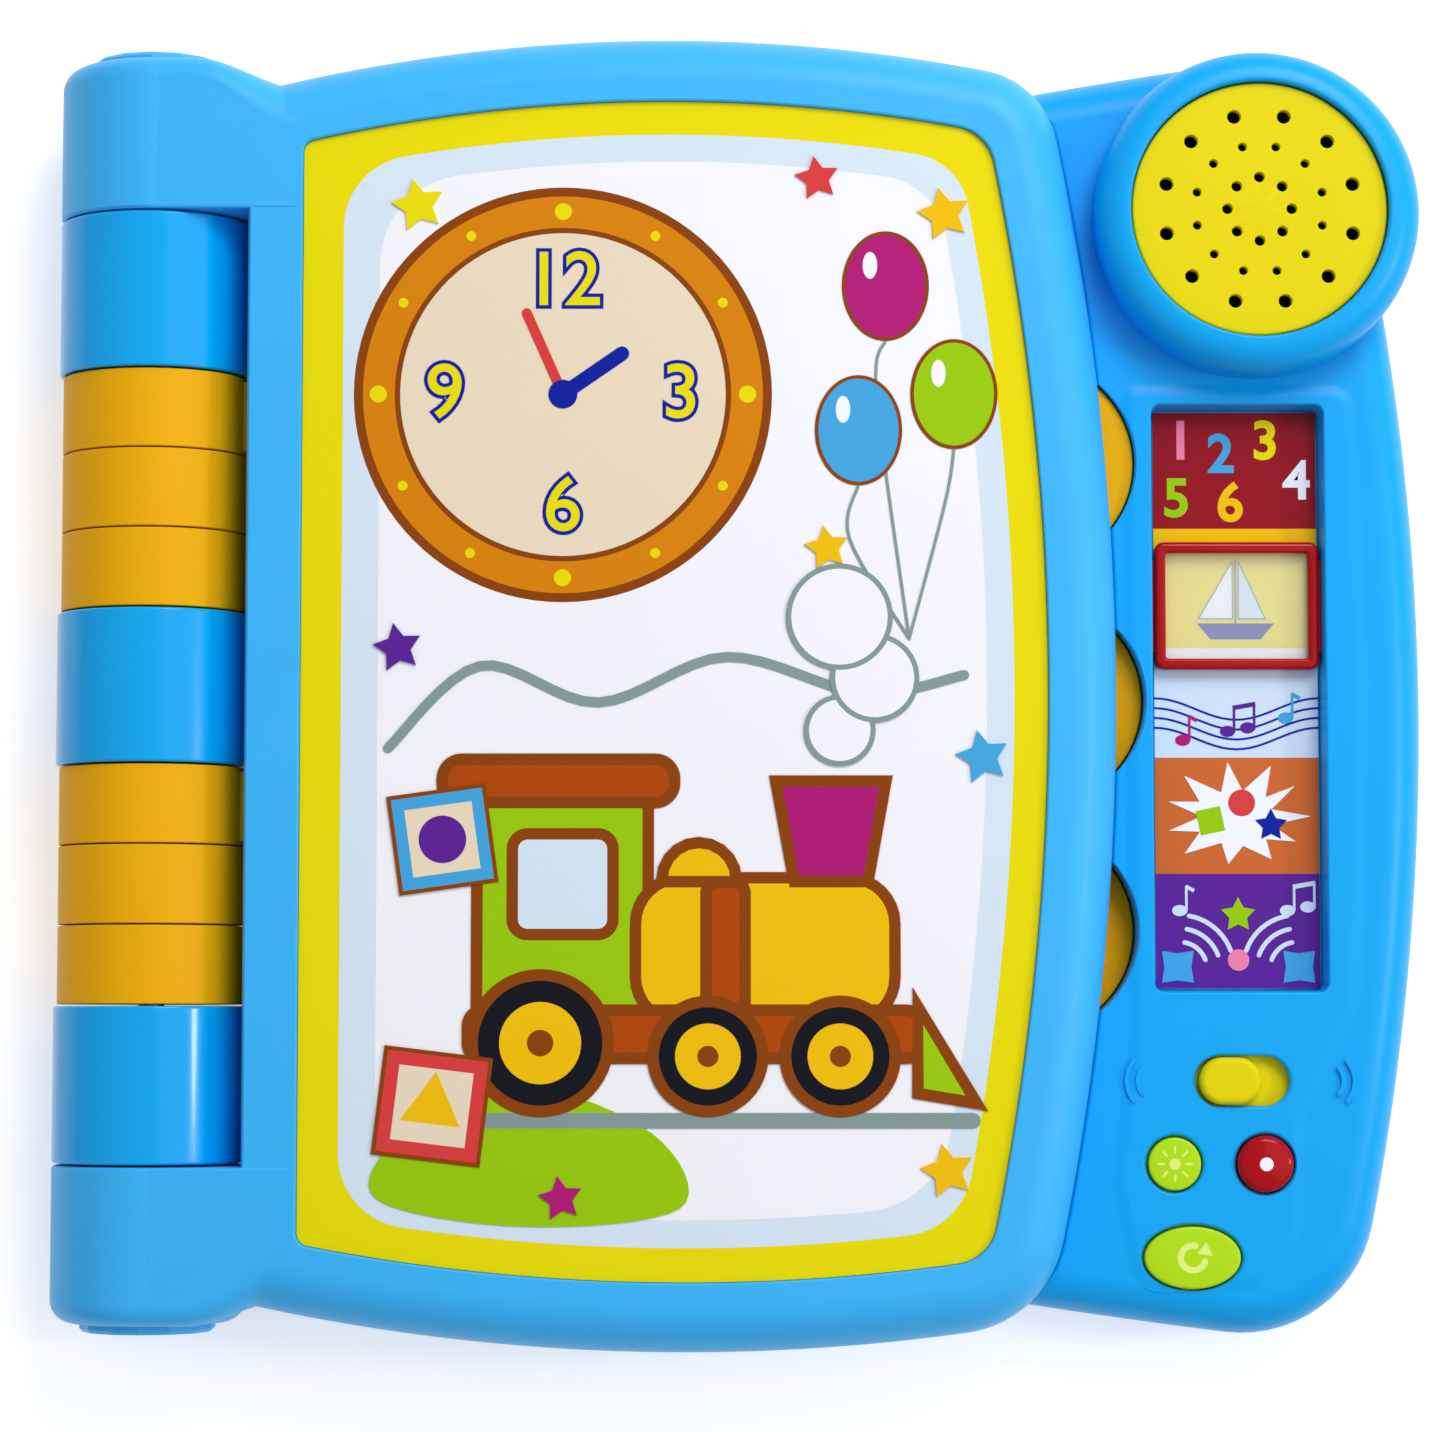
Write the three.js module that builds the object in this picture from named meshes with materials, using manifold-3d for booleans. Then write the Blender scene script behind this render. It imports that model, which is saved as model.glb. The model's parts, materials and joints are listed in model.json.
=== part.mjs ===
// Sound book: a hard toy book with a ringed spine, three tabbed pages and a control panel on its right.
// Millimetres. X runs from the spine to the right edge, Y up the page, Z from the table to the cover.
// While it is being made, the spine's axis is the line x = 0, z = axisHeight.
import * as THREE from 'three';
import { mergeVertices } from 'three/addons/utils/BufferGeometryUtils.js';
import Module from 'manifold-3d';

const wasm = await Module();
wasm.setup();

// Walls and clearances
const wall = 2.2;
const thinWall = 1.6;
const seatGap = 0.3;
const runGap = 0.5;
const partingGap = 0.3;

// How far one part of a piece runs into the next, and a cutting tool past the face that it cuts
const weld = 0.4;
const past = 1;

// Spine: barrels on one rod, with its axis a barrel's radius over the table
const barrelRadius = 21.5;
const axisHeight = barrelRadius;
const pageRingStep = 0.8;
const pageRingRadius = barrelRadius - pageRingStep;
const barrelWeb = 2.4;
const centreBarrelLength = 34.4;
const sideBarrelLength = 35;
const pageRingLength = 17.6;
const coverKnuckleLength = 34.8;
const barrelGap = 0.6;
const barrelEdge = 0.8;
const knuckleEndRound = 5;
const rodRadius = 3;
const rodEdge = 0.5;
const rodBoreRadius = rodRadius + seatGap;
const endCapInset = 6.5;
const endCapRadius = barrelRadius - endCapInset;
const endCapThickness = 2;
const endCapEdge = 0.8;
const endCapPlugLength = 3;

// Book outline, seen from above: a straight spine side and three long arcs
const coverLeftGap = 1.6;
const coverWidth = 191;
const coverLeft = barrelRadius + coverLeftGap;
const bookRight = coverLeft + coverWidth;
const bookTop = 144.9;
const bookBottom = -145.8;
const topArcRadius = 373;
const rightArcRadius = 606;
const bottomArcRadius = 448;
const topArcShift = 3.5;
const bottomArcShift = 0.5;
const bookMiddleX = (coverLeft + bookRight) / 2;
const cornerTopRadius = 20;
const cornerBottomRadius = 25;

// Pages, stacked around the spine's height between the bed and the cover
const pageCount = 3;
const pageThickness = 3.1;
const pageGap = 0.4;
const pagePitch = pageThickness + pageGap;
const stackGap = 0.45;
const stackHalf = ((pageCount - 1) / 2) * pagePitch + pageThickness / 2 + stackGap;
const pageInset = 3;
const pageLeftGap = 1.1;
const pageLeft = barrelRadius + pageLeftGap;
const pageCardInset = 14;
const pageCardMargin = 13.4;
const pageCardLeft = pageLeft + pageCardMargin;
const pageCardDepth = 0.5;
const pageCardThickness = 0.4;
const tabRadius = 23;
const outerTabReach = 4.7;
const middleTabReach = 6.6;
const topTabY = 50.6;
const middleTabY = -2.4;
const bottomTabY = -53.5;
const tabs = [
  { tip: bookRight + outerTabReach, y: topTabY },
  { tip: bookRight + middleTabReach, y: middleTabY },
  { tip: bookRight + outerTabReach, y: bottomTabY },
];

// Cover
const coverThickness = 15.6;
const coverUnderside = axisHeight + stackHalf;
const coverCrown = coverUnderside + coverThickness;
const coverEdgeRound = 11;
const coverLeftShare = 0.4;
const coverHem = 0.8;
const bridgeReach = 7.5;
const bridgeLeft = barrelRadius - bridgeReach;
const bridgeRound = 6;
const bridgeCorner = 0.5;
const bridgeEndMargin = 3;
const bridgeInnerShare = 0.2;
const bridgeOuterShare = 0.5;
const windowInset = 15.6;
const windowMargin = 11.5;
const windowLeft = coverLeft + windowMargin;
const windowDepth = 1.7;
const windowCornerRadius = 10;
const windowLeftCornerRadius = 3;
const printThickness = 0.4;
const backPanelThickness = 2;

// Base under the book
const bedTop = axisHeight - stackHalf;
const baseLeftGap = 1.3;
const baseLeft = barrelRadius + baseLeftGap;
const baseInset = 1;
const baseFootRound = 4;
const partingHeight = 10;
const barrelFootDrop = 3;
const barrelFootTop = bedTop - barrelFootDrop;
const bookClearance = 2 * runGap;

// Batteries side by side along Y, springs and plates at their ends, in a bay beside the middle tab
const cellRadius = 7.25;
const cellLength = 49.3;
const cellNubRadius = 2.75;
const cellNubLength = 1.2;
const cellEdge = 0.8;
const cellCount = 3;
const cellPitch = 2 * cellRadius + seatGap;
const springLength = 5;
const springRadius = 4.6;
const springTipRadius = 2.8;
const springWire = 0.45;
const springTurns = 3;
const contactThickness = 0.5;
const doorMargin = 4;
const doorThickness = 1.7;
const doorCorner = 1.5;
const bayRoof = 1.4;
const bayGap = 0.7;
const bayLeft = bookRight + middleTabReach + bookClearance + wall + bayGap + thinWall;
const bayRight = bayLeft + cellCount * cellPitch + seatGap;
const bayLength = springLength + cellLength + cellNubLength + 2 * contactThickness + 2 * seatGap;
const cellHeight = doorThickness + 2 * seatGap + cellRadius;
const bayCeiling = cellHeight + cellRadius + seatGap;

// Control panel, right of the book
const panelTop = 28;
const panelMargin = 12.3;
const panelRight = bayRight + panelMargin;
const panelUnderlap = 29.1;
const panelLeft = bookRight - panelUnderlap;
const panelCrownY = -4;
const panelRightArcRadius = 570;
const panelEdgeRound = 9;
const panelCornerTop = 34;
const panelCornerBottom = 30;
const panelLongArcRadius = 1500;
const panelEdgeReach = 7.9;
const panelTopY = 139.6;
const panelTopSlope = 0.16;
const panelBottomY = -140.1;
const panelBottomSlope = -0.135;
const panelTopEdge = { x: bookRight + panelEdgeReach, y: panelTopY, slope: panelTopSlope };
const panelBottomEdge = { x: bookRight + panelEdgeReach, y: panelBottomY, slope: panelBottomSlope };

// Speaker turret
const turretReach = 31.7;
const turretDrop = 34.1;
const turret = { x: bookRight + turretReach, y: panelTopY - turretDrop };
const turretRadius = 36;
const turretTop = 42;
const turretRound = 7;
const grilleRadius = 28.2;
const grilleSink = 1.8;
const grilleTop = turretTop - grilleSink;
const grilleThickness = 2.2;
const grilleLedge = 2.4;
const grilleEdge = 0.5;
const grilleRings = [
  { count: 12, radius: 21.3, hole: 1.5, turn: 15 },
  { count: 12, radius: 14.3, hole: 0.95, turn: 15 },
  { count: 8, radius: 7.1, hole: 1.15, turn: 0 },
];
const speakerRadius = 25;
const speakerDepth = 17;
const speakerFlange = 1.4;
const basketRim = 1;
const basketFlangeWidth = 4;
const basketNeck = 5;
const basketWall = 1.2;
const basketFloorMargin = 2;
const coneDepth = 10;
const coneWall = 1;
const coneThroatRadius = 7;
const dustCapRadius = 4;
const dustCapRise = 3;
const surroundWidth = 4;
const surroundDepth = 2;
const surroundDip = 0.8;
const surroundWall = 0.6;
const magnetRadius = 15;
const magnetThickness = 8;
const magnetEdge = 1;

// Buttons, counted up from the panel's lower edge
const ovalRise = 14.7;
const roundRise = 35.2;
const keyMargin = 3.9;
const keyPitch = 20;
const ovalShift = 3.8;
const greenRadius = 5.8;
const redRadius = 6.2;
const ovalHalfWidth = 10.6;
const ovalHalfHeight = 6.8;
const lowKeyProud = 1.2;
const redKeyProud = 2.2;
const greenDome = 0.5;
const redDome = 1.6;
const ovalDome = 0.6;
const crownRise = 0.25;
const crownShare = 0.55;
const buttonTravel = 1.2;
const buttonFlange = 1;
const buttonFlangeThickness = 1.2;
const flangeTop = panelTop - wall - seatGap;
const flangeBottom = flangeTop - buttonFlangeThickness;

// Mode window, its print strip and its slider
const modeTabWall = 1;
const modeWidth = 38.3;
const modeLeft = bookRight + middleTabReach + bookClearance + modeTabWall;
const modeTurretGap = 5.9;
const modeVolumeGap = 19.6;
const volumeKeyGap = 18.2;
const roundRowY = panelBottomY + roundRise;
const volumeY = roundRowY + volumeKeyGap;
const modeWindow = {
  left: modeLeft,
  right: modeLeft + modeWidth,
  bottom: volumeY + modeVolumeGap,
  top: turret.y - turretRadius - modeTurretGap,
  corner: 2,
};
const modeFloor = bayCeiling + bayRoof + partingGap + wall;
const modeDraft = 0.5;
const modeGrooveDepth = 0.7;
const modeGrooveRise = 1.6;
const modeGrooveHeight = 1.7;
const membraneThickness = 0.5;
const stripThickness = 0.4;
const sliderLength = 28.6;
const sliderDrop = 44.7;
const sliderCentre = modeWindow.top - sliderDrop;
const sliderThickness = 3.2;
const sliderCorner = 2;
const sliderEdge = 0.8;
const sliderBar = 2.5;
const sliderTongueMargin = 4;
const paneThickness = 1.2;
const paneCorner = 1;
const paneRebate = 1;
const paneLift = 0.4;

// Volume slide
const volumeInset = 8.6;
const volumeLength = 20.9;
const volumeHeight = 11;
const volumeSlot = {
  left: modeLeft + volumeInset,
  right: modeLeft + volumeInset + volumeLength,
  y: volumeY,
  height: volumeHeight,
};
const volumeKnobLength = 14.3;
const volumeTravel = 6.6;
const volumeKnobProud = 2.2;
const volumeKnobRound = 1.4;
const volumePlateThickness = 1.2;
const volumePlateMargin = 1.4;
const volumeSwitchMargin = 2;
const volumeSwitchWidth = 7;

// Screws: one in each corner and one in the middle of each long edge, with two more in the panel
const screwHeadRadius = 3;
const screwHeadHeight = 2;
const screwShankRadius = 1.5;
const screwLength = 10;
const screwEdge = 0.5;
const screwTipRadius = 0.4;
const screwSeat = 4.6;
const bossRadius = 5;
const postRadius = 4;
const screwLeftInset = 14.9;
const screwRightInset = 24.1;
const screwCornerInset = 32.9;
const screwMiddleInset = 16.9;
const panelScrewInset = 11.2;
const lowPanelScrewInset = 15.2;
const panelScrewDrop = 65.5;
const lowPanelScrewDrop = 5.3;
const panelScrewX = panelRight - panelScrewInset;
const lowPanelScrewX = panelRight - lowPanelScrewInset;
const baseScrews = [
  [coverLeft + screwLeftInset, bookTop - screwCornerInset],
  [coverLeft + screwLeftInset, bookBottom + screwCornerInset],
  [bookMiddleX, bookTop - screwMiddleInset],
  [bookMiddleX, bookBottom + screwMiddleInset],
  [bookRight - screwRightInset, bookTop - screwCornerInset],
  [bookRight - screwRightInset, bookBottom + screwCornerInset],
  [panelScrewX, turret.y - panelScrewDrop],
  [lowPanelScrewX, volumeY - lowPanelScrewDrop],
];
const coverScrewHeadRadius = 2.6;
const coverScrewHeadHeight = 1.1;
const coverScrewShankRadius = 1.2;
const coverScrewLength = 7;
const coverScrewLeftInset = 21.9;
const coverScrewRightInset = 26.1;
const coverScrewLeftDrop = 38.9;
const coverScrewMiddleDrop = 20.9;
const coverScrewRightDrop = 48.9;
const coverScrews = [
  [coverLeft + coverScrewLeftInset, bookTop - coverScrewLeftDrop],
  [coverLeft + coverScrewLeftInset, bookBottom + coverScrewLeftDrop],
  [bookMiddleX, bookTop - coverScrewMiddleDrop],
  [bookMiddleX, bookBottom + coverScrewMiddleDrop],
  [bookRight - coverScrewRightInset, bookTop - coverScrewRightDrop],
  [bookRight - coverScrewRightInset, bookBottom + coverScrewRightDrop],
];

// Boards: one beside the bay, one under the keys
const boardThickness = 1.6;
const boardCorner = 2;
const mainBoardMargin = 9.9;
const mainBoardGap = 2;
const mainBoardTopGap = 7.6;
const mainBoardLength = 48;
const mainBoardDrop = 4.6;
const keyBoardMargin = 3.4;
const keyBoardGap = 7;
const keyBoardLowMargin = 6.6;
const keyBoardHighMargin = 8.7;
const keyBoardDrop = 4.9;
const mainBoard = {
  left: bookRight + mainBoardMargin,
  right: panelScrewX - postRadius - mainBoardGap,
  bottom: modeWindow.top - mainBoardTopGap - mainBoardLength,
  top: modeWindow.top - mainBoardTopGap,
  z: modeFloor - wall - mainBoardDrop,
};
const keyBoard = {
  left: bookRight + keyBoardMargin,
  right: lowPanelScrewX - postRadius - keyBoardGap,
  bottom: panelBottomY + ovalRise - keyBoardLowMargin,
  top: volumeY + keyBoardHighMargin,
  z: flangeBottom - keyBoardDrop,
};
const chipSize = 9;
const chipHeight = 1.5;
const keypadThickness = 1;
const keypadMargin = 1;
const keypadDomeInset = 1;
const keypadDomeTaper = 1.4;
const bayRise = 3.1;
const bayBottom = modeWindow.bottom + bayRise;
const bayTop = bayBottom + bayLength;

// How finely curves are cut
const longSteps = 7;
const cornerSteps = 5;
const roundSteps = 3;
const barrelSides = 28;
const coreSides = 12;
const turretSides = 36;
const smallSides = 8;
const tinySides = 7;
const springSteps = 6;

// Colours
const blue = 0x02a0f0;
const orange = 0xf0b000;
const yellow = 0xe9db00;
const lime = 0xb9e600;
const red = 0xbe0610;
const steel = 0xc8ccd0;
const card = 0xf4f1e6;
const clearTint = 0xdfe8ec;
const boardGreen = 0x2f6b3c;
const black = 0x20242a;

const keysLeft = modeLeft + keyMargin;
const ovalY = panelBottomY + ovalRise;
const buttons = [
  {
    name: 'button_green', x: keysLeft, y: roundRowY, a: greenRadius, b: greenRadius,
    proud: lowKeyProud, dome: greenDome, color: lime,
  },
  {
    name: 'button_red', x: keysLeft + keyPitch, y: roundRowY, a: redRadius, b: redRadius,
    proud: redKeyProud, dome: redDome, color: red,
  },
  {
    name: 'button_oval', x: keysLeft + ovalShift, y: ovalY, a: ovalHalfWidth, b: ovalHalfHeight,
    proud: lowKeyProud, dome: ovalDome, color: lime,
  },
];

// Solids from geometries and back

function solid(geometry) {
  const bare = new THREE.BufferGeometry();
  bare.setAttribute('position', geometry.getAttribute('position').clone());
  if (geometry.index) bare.setIndex(geometry.index.clone());
  const merged = mergeVertices(bare, 1e-4);
  const corners = Array.from(merged.index.array);
  const faces = [];
  for (let i = 0; i < corners.length; i += 3) {
    const [a, b, c] = corners.slice(i, i + 3);
    if (a !== b && b !== c && c !== a) faces.push(a, b, c);
  }
  const places = merged.getAttribute('position').array;
  if (signedVolume(places, faces) < 0) faces.reverse();
  return new wasm.Manifold(new wasm.Mesh({
    numProp: 3,
    vertProperties: new Float32Array(places),
    triVerts: new Uint32Array(faces),
  }));
}

function signedVolume(places, faces) {
  const corner = (i) => new THREE.Vector3().fromArray(places, 3 * i);
  let sum = 0;
  for (let i = 0; i < faces.length; i += 3) {
    sum += corner(faces[i]).dot(corner(faces[i + 1]).cross(corner(faces[i + 2])));
  }
  return sum / 6;
}

function geometryOf(manifold) {
  const mesh = manifold.getMesh();
  const geometry = new THREE.BufferGeometry();
  geometry.setAttribute('position', new THREE.BufferAttribute(mesh.vertProperties, 3));
  geometry.setIndex(new THREE.BufferAttribute(mesh.triVerts, 1));
  geometry.computeVertexNormals();
  return geometry;
}

// Simple solids

function box(x0, x1, y0, y1, z0, z1) {
  const geometry = new THREE.BoxGeometry(x1 - x0, y1 - y0, z1 - z0);
  return solid(geometry.translate((x0 + x1) / 2, (y0 + y1) / 2, (z0 + z1) / 2));
}

function post(x, y, radius, z0, z1, sides = smallSides) {
  const geometry = new THREE.CylinderGeometry(radius, radius, z1 - z0, sides);
  return solid(geometry.rotateX(Math.PI / 2).translate(x, y, (z0 + z1) / 2));
}

// Profile points are [radius, height]; the solid stands along Z at (x, y)
function turned(profile, x, y, sides) {
  const points = profile.map(([r, h]) => new THREE.Vector2(r, h));
  return solid(new THREE.LatheGeometry(points, sides).rotateX(Math.PI / 2).translate(x, y, 0));
}

// The same along the spine's axis
function turnedOnSpine(profile, sides = barrelSides) {
  const points = profile.map(([r, y]) => new THREE.Vector2(r, y));
  return solid(new THREE.LatheGeometry(points, sides).translate(0, 0, axisHeight));
}

function slab(outline, z0, z1) {
  const options = { depth: z1 - z0, bevelEnabled: false };
  const geometry = new THREE.ExtrudeGeometry(new THREE.Shape(outline), options);
  return solid(geometry.translate(0, 0, z0));
}

// A skin through outlines of equal count, one at each height, closed at both ends
function loft(sections) {
  const count = sections[0].outline.length;
  const places = sections.flatMap(({ outline, z }) => outline.flatMap((p) => [p.x, p.y, z]));
  const faces = [];
  for (let level = 0; level + 1 < sections.length; level += 1) {
    for (let i = 0; i < count; i += 1) {
      const a = level * count + i;
      const b = level * count + ((i + 1) % count);
      faces.push(a, b, b + count, a, b + count, a + count);
    }
  }
  const lid = (level, flip) => {
    for (const [a, b, c] of THREE.ShapeUtils.triangulateShape(sections[level].outline, [])) {
      const start = level * count;
      faces.push(start + a, start + (flip ? c : b), start + (flip ? b : c));
    }
  };
  lid(0, true);
  lid(sections.length - 1, false);
  const geometry = new THREE.BufferGeometry();
  geometry.setAttribute('position', new THREE.Float32BufferAttribute(places, 3));
  geometry.setIndex(faces);
  return solid(geometry);
}

function joined(pieces) {
  return pieces.reduce((whole, piece) => whole.add(piece));
}

function cut(body, tools) {
  return tools.reduce((rest, tool) => rest.subtract(tool), body);
}

// Outlines

function arc(centre, radius, start, end, steps) {
  const points = [];
  for (let i = 0; i <= steps; i += 1) {
    const angle = start + ((end - start) * i) / steps;
    const x = centre.x + radius * Math.cos(angle);
    points.push(new THREE.Vector2(x, centre.y + radius * Math.sin(angle)));
  }
  return points;
}

function oval(x, y, a, b, steps) {
  return arc({ x: 0, y: 0 }, 1, 0, 2 * Math.PI * (1 - 1 / steps), steps - 1)
    .map((p) => new THREE.Vector2(x + a * p.x, y + b * p.y));
}

function roundedBox(x0, x1, y0, y1, radius, steps = roundSteps) {
  const right = Math.PI / 2;
  const corners = [
    { x: x1 - radius, y: y0 + radius, start: -right },
    { x: x1 - radius, y: y1 - radius, start: 0 },
    { x: x0 + radius, y: y1 - radius, start: right },
    { x: x0 + radius, y: y0 + radius, start: 2 * right },
  ];
  return corners.flatMap((corner) => arc(corner, radius, corner.start, corner.start + right, steps));
}

// Where two circles cross, on the left of the way from a to b
function circlesMeet(a, radiusA, b, radiusB) {
  const dx = b.x - a.x;
  const dy = b.y - a.y;
  const distance = Math.hypot(dx, dy);
  const along = (distance ** 2 + radiusA ** 2 - radiusB ** 2) / (2 * distance);
  const aside = Math.sqrt(radiusA ** 2 - along ** 2);
  return {
    x: a.x + (along * dx - aside * dy) / distance,
    y: a.y + (along * dy + aside * dx) / distance,
  };
}

function angleTo(from, to) {
  return Math.atan2(to.y - from.y, to.x - from.x);
}

// Bottom, right and top arcs with rounded right corners, closed by a straight left side
function archedOutline(arcs, left, corners, leftRadius = 0) {
  const { bottom, right, top } = arcs;
  const low = circlesMeet(bottom, bottom.r - corners.bottom, right, right.r - corners.bottom);
  const high = circlesMeet(right, right.r - corners.top, top, top.r - corners.top);
  const x = left + leftRadius;
  const lowLeft = { x, y: bottom.y - Math.sqrt((bottom.r - leftRadius) ** 2 - (x - bottom.x) ** 2) };
  const highLeft = { x, y: top.y + Math.sqrt((top.r - leftRadius) ** 2 - (x - top.x) ** 2) };
  const points = [
    ...arc(bottom, bottom.r, angleTo(bottom, lowLeft), angleTo(bottom, low), longSteps),
    ...arc(low, corners.bottom, angleTo(bottom, low), angleTo(right, low), cornerSteps).slice(1),
    ...arc(right, right.r, angleTo(right, low), angleTo(right, high), longSteps).slice(1),
    ...arc(high, corners.top, angleTo(right, high), angleTo(top, high), cornerSteps).slice(1),
    ...arc(top, top.r, angleTo(top, high), angleTo(top, highLeft), longSteps).slice(1),
  ];
  if (leftRadius > 0) {
    points.push(...arc(highLeft, leftRadius, angleTo(top, highLeft), Math.PI, roundSteps).slice(1));
    points.push(...arc(lowLeft, leftRadius, -Math.PI, angleTo(bottom, lowLeft), roundSteps).slice(0, -1));
  }
  return points;
}

function bookArcs(inset) {
  return {
    bottom: { x: bookMiddleX + bottomArcShift, y: bookBottom + bottomArcRadius, r: bottomArcRadius - inset },
    right: { x: bookRight - rightArcRadius, y: 0, r: rightArcRadius - inset },
    top: { x: bookMiddleX - topArcShift, y: bookTop - topArcRadius, r: topArcRadius - inset },
  };
}

function bookOutline(inset, left) {
  return archedOutline(bookArcs(inset), left, {
    bottom: cornerBottomRadius - inset,
    top: cornerTopRadius - inset,
  });
}

function windowOutline(inset) {
  const corner = windowCornerRadius - inset;
  return archedOutline(bookArcs(windowInset + inset), windowLeft + inset, { bottom: corner, top: corner },
    windowLeftCornerRadius - inset);
}

// A long arc through a point with a slope there; side is 1 where its centre lies above
function slopedArc({ x, y, slope }, side, inset) {
  const length = Math.hypot(1, slope);
  return {
    x: x - (side * panelLongArcRadius * slope) / length,
    y: y + (side * panelLongArcRadius) / length,
    r: panelLongArcRadius - inset,
  };
}

function panelOutline(inset) {
  return archedOutline({
    bottom: slopedArc(panelBottomEdge, 1, inset),
    right: { x: panelRight - panelRightArcRadius, y: panelCrownY, r: panelRightArcRadius - inset },
    top: slopedArc(panelTopEdge, -1, inset),
  }, panelLeft + inset, { bottom: panelCornerBottom - inset, top: panelCornerTop - inset });
}

// A quarter round between a wall and a flat top, as pairs of height and inset
function quarterRound(top, radius, steps = roundSteps) {
  return Array.from({ length: steps + 1 }, (_, i) => {
    const angle = (Math.PI / 2) * (i / steps);
    return { z: top - radius + radius * Math.sin(angle), inset: radius * (1 - Math.cos(angle)) };
  });
}

function footRound(bottom, radius, steps = 2) {
  return quarterRound(0, radius, steps).map(({ z, inset }) => ({ z: bottom - z, inset })).reverse();
}

// Spine stations, counted from the middle barrel towards the top
const innerRingStart = centreBarrelLength / 2;
const sideBarrelStart = innerRingStart + pageCount * pageRingLength;
const knuckleStart = sideBarrelStart + sideBarrelLength;
const spineEnd = knuckleStart + coverKnuckleLength;

// The room inside a barrel, between its end webs
function barrelCore(low, high) {
  const reach = barrelGap / 2 + barrelWeb;
  const radius = pageRingRadius - wall;
  const profile = [[0, low + reach], [radius, low + reach], [radius, high - reach], [0, high - reach]];
  return turnedOnSpine(profile, coreSides);
}

function rodBore() {
  const end = spineEnd + endCapThickness;
  return turnedOnSpine([[0, -end], [rodBoreRadius, -end], [rodBoreRadius, end], [0, end]], coreSides);
}

function barrel(start, end, radius) {
  const low = start + barrelGap / 2;
  const high = end - barrelGap / 2;
  return turnedOnSpine([
    [0, low], [radius - barrelEdge, low], [radius, low + barrelEdge],
    [radius, high - barrelEdge], [radius - barrelEdge, high], [0, high],
  ]);
}

// The cover's end knuckles have a big round on their outer end; side is 1 at the top, -1 at the bottom
function knuckle(side) {
  const low = knuckleStart + barrelGap / 2;
  const round = quarterRound(spineEnd, knuckleEndRound).map(({ z, inset }) => [barrelRadius - inset, z]);
  const profile = [
    [0, low], [barrelRadius - barrelEdge, low], [barrelRadius, low + barrelEdge], ...round, [0, spineEnd],
  ];
  return turnedOnSpine(profile.map(([r, y]) => [r, side * y]));
}

function knuckleCore(side) {
  const end = spineEnd - barrelWeb;
  return side > 0 ? barrelCore(knuckleStart, end) : barrelCore(-end, -knuckleStart);
}

// Base: one hollow body, parted into two shells

function spread(levels, outlineAt) {
  return loft(levels.map(({ z, inset }) => ({ z, outline: outlineAt(inset) })));
}

const underBook = (inset) => bookOutline(baseInset + inset, baseLeft + inset);

function turretProfile() {
  const walls = [...footRound(0, baseFootRound), ...quarterRound(turretTop, turretRound)];
  return [[0, 0], ...walls.map(({ z, inset }) => [turretRadius - inset, z]), [0, turretTop]];
}

function bookWell(grow, floor) {
  const roof = turretTop + past;
  const discs = tabs.map(({ tip, y }) => (
    post(tip - tabRadius, y, tabRadius + grow, floor, roof, turretSides)));
  return joined([slab(bookOutline(-grow, 0), floor, roof), ...discs]);
}

function baseOutside() {
  const feet = footRound(0, baseFootRound);
  const under = spread([...feet, { z: bedTop, inset: 0 }], underBook);
  const panel = spread([...feet, ...quarterRound(panelTop, panelEdgeRound)], panelOutline);
  const tower = turned(turretProfile(), turret.x, turret.y, turretSides);
  return cut(joined([under, panel, tower]), [bookWell(bookClearance, bedTop)]);
}

function baseInside() {
  const inward = ({ z, inset }) => ({ z, inset: inset + wall });
  const feet = footRound(wall, baseFootRound - thinWall).map(inward);
  const under = spread([...feet, { z: bedTop - wall, inset: wall }], underBook);
  const roof = quarterRound(panelTop - wall, panelEdgeRound - wall).map(inward);
  const panel = spread([...feet, ...roof], panelOutline);
  const ledge = grilleTop - grilleThickness - grilleLedge;
  const innerRadius = turretRadius - wall;
  const tower = post(turret.x, turret.y, innerRadius, baseFootRound + wall, ledge, turretSides);
  const { left, right, bottom, top } = modeWindow;
  const modeTub = box(left - wall, right + wall, bottom - wall, top + wall, modeFloor - wall, panelTop);
  const kept = bookWell(bookClearance + wall, bedTop - wall);
  return joined([cut(joined([cut(panel, [kept]), under]), [modeTub]), cut(tower, [kept])]);
}

const modeGrooveBottom = modeFloor + modeGrooveRise;

function modeOpening() {
  const { left, right, bottom, top, corner } = modeWindow;
  const outline = (inset) => roundedBox(left + inset, right - inset, bottom + inset, top - inset, corner);
  const opening = loft([
    { z: modeFloor, outline: outline(modeDraft) },
    { z: panelTop + past, outline: outline(0) },
  ]);
  const grooves = box(left - modeGrooveDepth, right + modeGrooveDepth, bottom + corner, top - corner,
    modeGrooveBottom, modeGrooveBottom + modeGrooveHeight);
  return opening.add(grooves);
}

function slotOutline({ left, right, y, height }, grow) {
  return roundedBox(left - grow, right + grow, y - height / 2 - grow, y + height / 2 + grow,
    height / 2 + grow - 0.01, cornerSteps);
}

const slice = (z0, z1) => box(-barrelRadius, 2 * panelRight, 2 * bookBottom, 2 * bookTop, z0, z1);
const baseHollow = baseInside();
const baseHull = baseOutside().subtract(baseHollow);

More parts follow.
